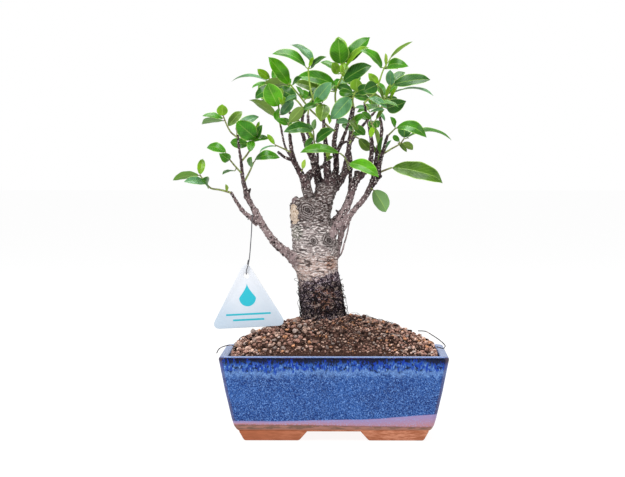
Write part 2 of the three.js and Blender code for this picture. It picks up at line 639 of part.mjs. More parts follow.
// Points round a rectangle with rounded corners, with extra points along its long and short sides.
function rectangleRing(halfX, halfY, radius, z, corner = 3, longSide = 0, shortSide = 0) {
  const points = [];
  const centres = [[1, -1], [1, 1], [-1, 1], [-1, -1]];
  centres.forEach(([sx, sy], quarter) => {
    const start = (quarter - 1) * (Math.PI / 2);
    for (let k = 0; k <= corner; k++) {
      const angle = start + (k / corner) * (Math.PI / 2);
      const x = sx * (halfX - radius) + radius * Math.cos(angle);
      const y = sy * (halfY - radius) + radius * Math.sin(angle);
      points.push(new THREE.Vector3(x, y, z));
    }
    const alongY = quarter % 2 === 0;
    const extra = alongY ? shortSide : longSide;
    const from = points[points.length - 1].clone();
    const to = from.clone();
    if (alongY) to.y = -from.y;
    else to.x = -from.x;
    for (let k = 1; k <= extra; k++) points.push(from.clone().lerp(to, k / (extra + 1)));
  });
  return points;
}

function potRing([inset, z], corner = 3, longSide = 0, shortSide = 0) {
  const radius = Math.max(4, POT_CORNER_RADIUS - 0.2 * inset);
  return rectangleRing(POT_HALF_WIDTH - inset, POT_HALF_DEPTH - inset, radius, z, corner, longSide, shortSide);
}

function foot(sideX, sideY) {
  const rings = [FOOT_BOTTOM, FOOT_TOP].map(({ x, y, z }) => {
    const ring = rectangleRing((x[1] - x[0]) / 2, (y[1] - y[0]) / 2, 3, z, 2);
    const middle = new THREE.Vector3((sideX * (x[0] + x[1])) / 2, (sideY * (y[0] + y[1])) / 2, 0);
    return ring.map((point) => point.add(middle));
  });
  return loft(rings);
}

function makePot() {
  const shell = loft([...POT_OUTSIDE, ...POT_LIP, ...POT_INSIDE].map((row) => potRing(row)));
  const feet = [[-1, -1], [1, -1], [1, 1], [-1, 1]].map(([sx, sy]) => foot(sx, sy));
  const drains = [-DRAIN_X, DRAIN_X].map((x) => {
    const bore = new THREE.CylinderGeometry(DRAIN_RADIUS, DRAIN_RADIUS, POT_HEIGHT, 16);
    return solid(bore.rotateX(Math.PI / 2).translate(x, 0, 0));
  });
  return union([shell, ...feet]).subtract(union(drains));
}

function makeMeshPad(x) {
  const { size, thick } = MESH_PAD;
  const floor = POT_INSIDE[POT_INSIDE.length - 1][1];
  return solid(new THREE.BoxGeometry(size, size, thick).translate(x, 0, floor + GAP + thick / 2));
}

function moundHeight(x, y) {
  const acrossX = 1 - Math.abs(x / MOUND.halfWidth) ** 2.1;
  const acrossY = 1 - Math.abs(y / MOUND.halfDepth) ** 2.3;
  return MOUND.foot + MOUND.rise * acrossX * acrossY ** 0.8;
}

// Clods in wandering rows.
function lumps(x, y) {
  const pace = (Math.PI * Math.SQRT2) / LUMPS.apart;
  const row = Math.sin(pace * (x + LUMPS.wander * Math.sin(y / 9)));
  const column = Math.sin(pace * (y + LUMPS.wander * Math.sin(x / 8)));
  return LUMPS.height * row * column;
}

function makeSoil() {
  const sides = SOIL_SIDES.map((row) => potRing(row, 2, 17, 12));
  const rim = sides[sides.length - 1];
  const holeRing = (z) =>
    rim.map((point) => {
      const angle = Math.atan2(point.y, point.x - HOLE.x);
      return new THREE.Vector3(HOLE.x + HOLE.radius * Math.cos(angle), HOLE.radius * Math.sin(angle), z);
    });
  const mouth = holeRing(0);
  const mound = Array.from({ length: SOIL_RINGS + 1 }, (_, i) =>
    rim.map((point, j) => {
      const spot = mouth[j].clone().lerp(point, 1 - i / SOIL_RINGS);
      const inside = i > 0 && i < SOIL_RINGS;
      spot.z = moundHeight(spot.x, spot.y) + (inside ? lumps(spot.x, spot.y) : 0);
      return spot;
    }),
  );
  return loft([...sides, ...mound, holeRing(HOLE.floor)]);
}

// ---- tree ------------------------------------------------------------------------------------

function trunkRelief(angle, z) {
  return 1 + 0.035 * Math.sin(3 * angle + z * 0.05) + 0.02 * Math.sin(5 * angle - z * 0.09);
}

function limbBody(name, rows, grow) {
  const radii = rows.map((row) => row[3] + grow);
  if (name === "trunk") return taperedRod(rows.map(vector), radii, SIDES.trunk, trunkRelief);
  return taperedRod(rows.map(vector), radii, rows[0][3] > 2.5 ? SIDES.limb : SIDES.twig);
}

function woodBody(grow = 0) {
  return union(Object.entries(LIMBS).map(([name, rows]) => limbBody(name, rows, grow)));
}

function outline(t) {
  return t < 1 ? Math.sin(Math.PI * t ** 0.8) ** 0.8 : 0;
}

// The upper side of a blade looks this way, at right angles to its length.
function bladeFace(along, show) {
  const flat = new THREE.Vector3().crossVectors(along, FRONT).normalize();
  if (flat.z < -0.05) flat.negate();
  const front = FRONT.clone().addScaledVector(along, -FRONT.dot(along)).normalize();
  return flat.multiplyScalar(Math.sqrt(1 - show * show)).addScaledVector(front, show);
}

// A leaf: a three-sided petiole from the stem, then the blade, both its faces split into triangles alike.
function leafBody([base, tip, width, show, arch], path, grow) {
  const from = vector(base);
  const along = vector(tip).sub(from);
  const length = along.length();
  along.normalize();
  const face = bladeFace(along, show);
  const side = new THREE.Vector3().crossVectors(face, along);
  const half = BLADE_THICK / 2 + grow;
  const place = (middle, across, rise) =>
    middle.clone().addScaledVector(side, across).addScaledVector(face, rise);
  const upper = [];
  const lower = [];
  const petioleRow = (middle) => {
    const reach = PETIOLE_HALF_WIDTH + grow;
    for (const s of [-1, 1, 1]) {
      upper.push(place(middle, 0, half));
      lower.push(place(middle, s * reach, -half));
    }
  };
  petioleRow(nearestOn(path, from));
  petioleRow(from);
  for (const t of BLADE_STATIONS) {
    const reach = (width / 2) * outline(t) + grow;
    const middle = place(from, 0, 4 * arch * t * (1 - t)).addScaledVector(along, t * length + grow * t);
    for (const s of [-1, 0, 1]) {
      const rise = BLADE_FOLD * Math.abs(s) * reach;
      upper.push(place(middle, s * reach, rise + half));
      lower.push(place(middle, s * reach, rise - half));
    }
  }
  const under = upper.length;
  const faces = [];
  const quad = (a, b, c, d) => faces.push(a, b, c, a, c, d);
  for (let near = 0, far = 3; far < under; near += 3, far += 3) {
    for (const s of [0, 1]) {
      quad(near + s, far + s, far + s + 1, near + s + 1);
      faces.push(under + near + s, under + far + s + 1, under + far + s);
      faces.push(under + near + s, under + near + s + 1, under + far + s + 1);
    }
    quad(near, under + near, under + far, far);
    quad(near + 2, far + 2, under + far + 2, under + near + 2);
  }
  const end = under - 3;
  for (const s of [0, 1]) {
    quad(s, s + 1, under + s + 1, under + s);
    quad(end + s, under + end + s, under + end + s + 1, end + s + 1);
  }
  return solid(indexedGeometry([...upper, ...lower], faces));
}

// The point of a row of points' line that is nearest to a given point.
function nearestOn(path, point) {
  const spots = path.slice(1).map((end, i) => {
    const span = new THREE.Line3(path[i], end);
    return span.closestPointToPoint(point, true, new THREE.Vector3());
  });
  return spots.sort((a, b) => a.distanceTo(point) - b.distanceTo(point))[0];
}

function shootBody({ girth, stem, leaves }, grow = 0) {
  const path = stem.map(vector);
  const radii = path.map((_, i) => THREE.MathUtils.lerp(girth[0], girth[1], i / (path.length - 1)) + grow);
  return union([taperedRod(path, radii, SIDES.stem), ...leaves.map((leaf) => leafBody(leaf, path, grow))]);
}

// ---- tag -------------------------------------------------------------------------------------

function tagShape() {
  const { width, height, corner, holeRadius, holeDrop } = TAG;
  const reach = width / 2 - corner;
  const slope = Math.atan2(reach, height - 2 * corner);
  const shape = new THREE.Shape();
  shape.absarc(reach, corner, corner, -Math.PI / 2, slope);
  shape.absarc(0, height - corner, corner, slope, Math.PI - slope);
  shape.absarc(-reach, corner, corner, Math.PI - slope, 1.5 * Math.PI);
  shape.closePath();
  const hole = new THREE.Path();
  hole.absarc(0, height - holeDrop, holeRadius, 0, 2 * Math.PI, true);
  shape.holes.push(hole);
  return shape;
}

// The tag hangs upright, turned a little about its hole, which lies at the origin of its mesh.
function makeTag() {
  const flat = new THREE.ExtrudeGeometry(tagShape(), { depth: TAG.thick, bevelEnabled: false, curveSegments: 7 });
  flat.translate(0, TAG.holeDrop - TAG.height, -TAG.thick / 2);
  return solid(flat.rotateX(Math.PI / 2));
}

function makeWire() {
  const section = new THREE.Shape().absarc(0, 0, WIRE_RADIUS, 0, 2 * Math.PI);
  const route = new THREE.CatmullRomCurve3(WIRE_ROUTE.map(vector), false, "centripetal");
  return solid(
    new THREE.ExtrudeGeometry(section, { steps: WIRE_STEPS, extrudePath: route, curveSegments: 4 }),
  );
}

// ---- scene graph -----------------------------------------------------------------------------

const MATERIALS = {
  glaze: { color: 0x3f68ad, roughness: 0.22, metalness: 0 },
  soil: { color: 0x6b4a38, roughness: 0.95, metalness: 0 },
  bark: { color: 0x8b7d76, roughness: 0.85, metalness: 0 },
  leaf: { color: 0x3f8a1e, roughness: 0.4, metalness: 0 },
  tag: { color: 0xd3d3f0, roughness: 0.35, metalness: 0 },
  steel: { color: 0x8c8f94, roughness: 0.35, metalness: 1 },
  netting: { color: 0x1c1e1f, roughness: 0.6, metalness: 0 },
};

const plant = new THREE.Group();

function addMesh(name, body, finish) {
  const mesh = new THREE.Mesh(geometryOf(body), new THREE.MeshStandardMaterial(MATERIALS[finish]));
  mesh.name = name;
  plant.add(mesh);
  return mesh;
}

addMesh("pot", makePot(), "glaze");
addMesh("soil", makeSoil(), "soil");
addMesh("drain_mesh_left", makeMeshPad(-DRAIN_X), "netting");
addMesh("drain_mesh_right", makeMeshPad(DRAIN_X), "netting");
addMesh("trunk", woodBody(), "bark");

const tag = addMesh("tag", makeTag(), "tag");
tag.position.set(...TAG_HOLE_AT);
tag.rotation.y = -THREE.MathUtils.degToRad(TAG.turn);
addMesh("tag_wire", makeWire(), "steel");

// Each shoot is seated on the wood, and what would touch the wood or an earlier shoot is pared clear.
let taken = woodBody(GAP);
for (const shoot of SHOOTS) {
  addMesh(`shoot_${shoot.name}`, largestBody(shootBody(shoot).subtract(taken)), "leaf");
  taken = taken.add(shootBody(shoot, GAP));
}

// The part's origin is under the middle of the whole, on the surface that the feet stand on.
const bounds = new THREE.Box3();
for (const mesh of plant.children) {
  mesh.updateMatrixWorld();
  if (!mesh.name.startsWith("tag")) bounds.expandByObject(mesh);
}
const middle = bounds.getCenter(new THREE.Vector3());
plant.position.set(-middle.x, -middle.y, -bounds.min.z);

const part = new THREE.Group();
part.add(plant);
export default part;
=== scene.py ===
"""The looks of a bonsai tree in a glazed pot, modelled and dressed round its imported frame.

Blender works in metres. The tables and sizes here are in millimetres from the middle of the pot, with the
front of the pot towards -Y and z = 0 a little above the surface that its feet stand on.
"""

import logging
import math
import random
from collections.abc import Callable, Iterator, Sequence
from contextlib import contextmanager
from dataclasses import dataclass, field
from enum import Enum
from itertools import pairwise

import bmesh
import bpy
import numpy as np
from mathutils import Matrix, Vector, noise


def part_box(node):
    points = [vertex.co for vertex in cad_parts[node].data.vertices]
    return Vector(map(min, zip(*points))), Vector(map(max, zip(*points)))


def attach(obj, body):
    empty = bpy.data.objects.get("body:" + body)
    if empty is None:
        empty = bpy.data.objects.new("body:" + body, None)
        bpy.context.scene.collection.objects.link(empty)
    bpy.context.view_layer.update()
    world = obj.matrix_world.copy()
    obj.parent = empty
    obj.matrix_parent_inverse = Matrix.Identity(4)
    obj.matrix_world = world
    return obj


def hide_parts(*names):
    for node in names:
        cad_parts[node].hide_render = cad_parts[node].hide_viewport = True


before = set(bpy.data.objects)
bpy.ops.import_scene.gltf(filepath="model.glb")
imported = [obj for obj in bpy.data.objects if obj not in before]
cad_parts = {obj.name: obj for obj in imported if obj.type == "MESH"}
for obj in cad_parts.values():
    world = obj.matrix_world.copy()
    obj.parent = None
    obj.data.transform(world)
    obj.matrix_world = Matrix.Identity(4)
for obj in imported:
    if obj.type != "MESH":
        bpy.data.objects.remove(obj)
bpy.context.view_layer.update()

LOG = logging.getLogger("bonsai")
MM = 0.001
BODY = "root"
FRONT = np.array((0.0, -1.0, 0.0))
FEET_STAND_AT = -1.7

Colour = tuple[float, float, float, float]
Place = tuple[float, float, float]
Row = tuple[float, float, float, float]
Object = bpy.types.Object
Material = bpy.types.Material


def seen(red: float, green: float, blue: float) -> Colour:
    """Turn a colour as it is seen, 0 to 255, into linear values.

    Args:
        red: Its red.
        green: Its green.
        blue: Its blue.

    Returns:
        The linear colour, opaque.
    """
    shares = [c / 255 for c in (red, green, blue)]
    linear = [s / 12.92 if s <= 0.04045 else ((s + 0.055) / 1.055) ** 2.4 for s in shares]
    return (*linear, 1.0)


class Slot(Enum):
    """The record's material slots that the pieces made here use."""

    GLAZE = "glaze"
    SOIL = "soil"
    BARK = "bark"
    LEAF = "leaf"
    TAG = "tag_plastic"
    STEEL = "steel"


class Tone(Enum):
    """A leaf's colour on its upper side, as it is seen."""

    DARK = (34, 92, 16)
    GREEN = (58, 126, 8)
    BRIGHT = (58, 136, 4)
    FRESH = (82, 158, 6)
    YOUNG = (116, 166, 6)
    BUD = (150, 184, 60)
    OLIVE = (86, 118, 30)
    MOSS = (68, 106, 14)
    # Painted sheen: a greyer, bluer green that stands in for the sheen of leaves seen at a slant.
    SILVER = (82, 134, 88)


@dataclass(frozen=True)
class Leaf:
    """A leaf of a shoot.

    show is the share of its upper side that is turned to the front, below 0 the underside, and arch is how
    far the middle of the blade rises above the line from base to tip.
    """

    base: Place
    tip: Place
    width: float
    show: float
    arch: float
    tone: Tone


@dataclass(frozen=True)
class Shoot:
    """A wiry stem, with its radius at root and tip, and its leaves."""

    girth: tuple[float, float]
    stem: list[Place]
    leaves: list[Leaf]


DARK, GREEN, BRIGHT, FRESH, YOUNG, BUD, OLIVE, MOSS, SILVER = Tone


def shoot(girth: tuple[float, float], stem: list[Place], *rows: tuple[float | Tone, ...]) -> Shoot:
    """Gather a shoot from its stem and the rows of its leaves."""
    return Shoot(girth, stem, [Leaf(row[:3], row[3:6], *row[6:]) for row in rows])


# The wire hooks over the lower left limb, hangs, and turns back through the hole in the tag.
WIRE_RADIUS = 0.45
WIRE_ROUTE: list[Place] = [
    (-77.3, -30.7, 194.6), (-76.5, -29, 196.4), (-74.7, -29, 198.2), (-73.1, -31, 198.8),
    (-72.8, -33.2, 197.8), (-73.4, -34.4, 196), (-73.7, -34.6, 192), (-73.9, -34.6, 186),
    (-74.8, -34.6, 173), (-75.8, -35.2, 161), (-77, -35.8, 154), (-78.3, -36, 150),
    (-78.7, -35.4, 147), (-78.7, -33.5, 145.7), (-78.7, -31.6, 147), (-78.4, -31, 150),
    (-77.8, -31.2, 154), (-77, -32.8, 158.5),
]

# Limbs, each with rows of (x, y, z, radius) from its root to its tip.
LIMBS: dict[str, list[Row]] = {
    "trunk": [
        (-8.5, 0, 69, 19), (-9, 0, 84.5, 19.5), (-9.5, 0, 98, 20.5), (-10, 0, 110, 19.3),
        (-12.5, 0, 128, 19), (-14, 0, 141.5, 18.6), (-16, 0, 151.5, 19.3), (-17.5, 0, 161.5, 20.4),
        (-17.5, 0, 170, 19.9), (-18.5, 0, 176, 19.6), (-20, 0, 185.5, 18.8), (-21.5, 0, 194.5, 18.4),
        (-22.5, 0, 203.5, 18.3), (-21, 0, 210, 16.5), (-19.5, 0, 213.5, 12.5),
    ],
    "shoulder_knob": [
        (-33.5, -8, 199, 5.5), (-34.5, -9, 206, 5), (-34, -9, 210.5, 4.2), (-33.5, -9, 213, 3),
    ],
    "left": [
        (-28.5, -6, 152, 7.5), (-38, -12, 160.5, 4.8), (-45.5, -16, 166.5, 4), (-53, -20, 173, 3.6),
        (-59.5, -24, 182, 3.2), (-66.5, -28, 193.5, 3), (-70, -30, 200.5, 3.1), (-74.5, -31, 208.5, 2.2),
        (-78, -32, 215, 2.8), (-79.5, -33, 222, 2.1), (-81.5, -34, 229, 1.8), (-82.5, -35, 239, 1.5),
        (-83.5, -36, 249, 1.25), (-85, -38, 259, 1.1), (-86, -40, 270.5, 1),
    ],
    "left_low": [
        (-69, -28, 190.5, 2.6), (-75.5, -32, 197, 2), (-80, -35, 200.5, 1.9), (-83.5, -38, 205, 1.7),
        (-87, -41, 210.5, 1.5), (-90, -43, 216, 1.35), (-92, -44, 219.5, 1.2),
    ],
    "left_stub": [(-78.5, -32, 216, 1.6), (-76.5, -33, 219, 1), (-75, -33, 222.5, 0.8)],
    "front": [(-23, -4, 201, 6), (-25, -7, 212, 4.7), (-25.5, -9, 221, 4.1), (-26, -11, 229, 4.2)],
    "front_left": [
        (-26, -11, 227.5, 3.8), (-30.5, -14, 236.5, 2.7), (-36, -18, 246.5, 2.3), (-38.5, -22, 258, 1.8),
        (-40, -26, 271.5, 1.4),
    ],
    "front_left_stub": [(-37, -19, 248, 1.6), (-44.5, -22, 250.5, 1.3), (-50.5, -25, 255.5, 1.2)],
    "front_left_twig": [
        (-37, -18, 249, 1.3), (-43, -12, 256.5, 1), (-46.5, -8, 268, 0.95), (-48.5, -5, 279, 0.9),
    ],
    "bridge": [(-26, -10, 229, 3.8), (-22.5, -4, 234.5, 3.6), (-17, 4, 238, 3)],
    "middle": [
        (-16.5, 1, 200, 12.5), (-12.5, 1, 209, 10.8), (-8.5, 2, 216, 9), (-5, 3, 223.5, 7.2),
        (-3, 3, 230, 5.4), (-2, 3, 234.5, 3.8),
    ],
    "middle_left": [
        (-6.5, 4, 219, 4.4), (-14, 6, 229, 3.9), (-17, 8, 239, 3.3), (-20.5, 13, 250, 2.5),
        (-25, 18, 258, 2.1), (-27.5, 22, 266.5, 1.8), (-30, 26, 275.5, 1.6), (-29.5, 30, 286.5, 1.35),
        (-28, 33, 296, 1.1),
    ],
    "centre": [
        (-4.5, 1, 226, 4.4), (-6.5, -4, 238, 3.4), (-6.5, -8, 248, 3), (-7, -11, 255.5, 2.4),
        (-8, -15, 265, 2), (-9, -19, 274, 1.6), (-9.5, -22, 283, 1.3), (-9, -25, 293, 1.1),
    ],
    "cross_tie": [(-16, 6, 239, 1.8), (-8.5, -4, 243.5, 1.7)],
    "front_twig": [(-16.5, 6, 239, 1.6), (-15, -3, 250, 1.1), (-16, -10, 260, 0.95)],
    "centre_right": [
        (-1.5, 6, 226, 4), (1.5, 10, 239, 2.8), (1.5, 14, 251, 2.4), (-0.5, 18, 263.5, 2.2),
        (1.5, 22, 274.5, 1.9), (3.5, 26, 285.5, 1.5), (5, 28, 292, 1.2),
    ],
    "centre_fork": [
        (1, 14, 252.5, 2), (6, 5, 263, 1.7), (9, -3, 270.5, 1.5), (11.5, -10, 277, 1.25),
        (14, -16, 286, 1.05), (16.5, -21, 296.5, 0.95),
    ],
    "centre_fork_back": [(6.5, 5, 263.5, 1.2), (13, 12, 265.5, 1), (18, 20, 270.5, 0.9)],
    "right_back": [
        (-8.5, 6, 186, 4.2), (1, 12, 194.5, 2.3), (7, 16, 202, 1.9), (11.5, 19, 211.5, 1.7),
        (14, 21, 220.5, 1.6), (14.5, 23, 231.5, 1.6), (15, 26, 243.5, 1.5), (15, 29, 250.5, 1.4),
        (13.5, 33, 258, 1.2), (13.5, 36, 262.5, 1.05),
    ],
    "right_back_stub": [(4.5, 14, 199, 1), (1.5, 18, 202, 0.75)],
    "right_arm": [(-2, 4, 224.5, 3.6), (6, 10, 232, 2.6), (11.5, 17, 236.5, 2), (14.5, 24, 240.5, 1.5)],
    "right": [
        (-13, -7, 166.5, 7), (-5, -9, 176.5, 4.8), (1.5, -11, 186.5, 3.9), (7, -12, 197, 3.5),
        (12, -12, 207.5, 3.3), (15.5, -12, 218, 3.2), (18.5, -12, 227.5, 3.1), (23, -12, 234, 3),
    ],
    "right_stub": [(19.5, -12, 228, 2.7), (20.5, -12, 233.5, 2.6), (20.5, -12, 238, 2.4)],
    "right_up": [
        (21.5, -12, 232, 3), (27.5, -12, 237, 2.4), (31.5, -12, 241.5, 2.3), (33.5, -14, 251.5, 2.1),
        (34, -17, 261.5, 1.9), (32.5, -20, 272.5, 1.6), (30.5, -23, 282.5, 1.3), (28.5, -26, 291, 1.1),
        (27, -29, 300, 0.95),
    ],
    "outer": [
        (-4, -2, 152, 4.5), (2.5, 1, 164, 2.7), (5, 4, 175, 2.4), (8, 6, 185, 2.5), (13.5, 8, 196, 2.6),
        (19, 9, 203.5, 2.4), (24.5, 10, 209.5, 2.4), (29.5, 11, 216.5, 2.5), (33, 12, 223.5, 2.7),
        (36.5, 12, 229.5, 3.4), (38, 12, 235, 3.7),
    ],
    "outer_mid": [
        (37.5, 12, 232.5, 3.2), (38.5, 15, 245.5, 2.5), (40, 20, 257, 2.2), (42.5, 25, 268, 1.8),
        (43.5, 29, 277, 1.5), (42, 33, 286, 1.3), (41.5, 35, 291, 1.1),
    ],
    "outer_right": [
        (39, 11, 232.5, 2.8), (42, 5, 248, 1.8), (45, 0, 258.5, 1.5), (46.5, -4, 265, 1.35),
        (48.5, -7, 270.5, 1.2),
    ],
    "outer_knob": [(38.5, 10, 232, 2.4), (42.5, 6, 233.5, 1.6)],
    "air_root": [
        (1, -5, 158, 1), (6, -8, 162.5, 0.8), (9, -7, 172, 0.75), (12, -2, 182.5, 0.7), (14, 6, 194, 0.8),
    ],
    "back_left": [
        (-16, 10, 205, 6.5), (-13.5, 22, 219.5, 4), (-16, 34, 237, 3), (-21, 45, 257, 2.2),
        (-24, 54, 276, 1.6), (-25, 60, 290, 1.2),
    ],
    "back_left_fork": [(-23, 52, 271, 1.5), (-35, 60, 285, 1.3), (-46.5, 66, 296.5, 1.05)],
    "back_right": [
        (-5, 7, 218, 5), (7, 26, 231.5, 3.2), (11.5, 42, 248, 2.6), (14, 54, 266.5, 1.9),
        (16, 62, 283.5, 1.4), (18, 66, 296.5, 1.1),
    ],
    "back_right_fork": [(14, 53, 263.5, 1.5), (24.5, 62, 278, 1.3), (37.5, 68, 293, 1.05)],
}

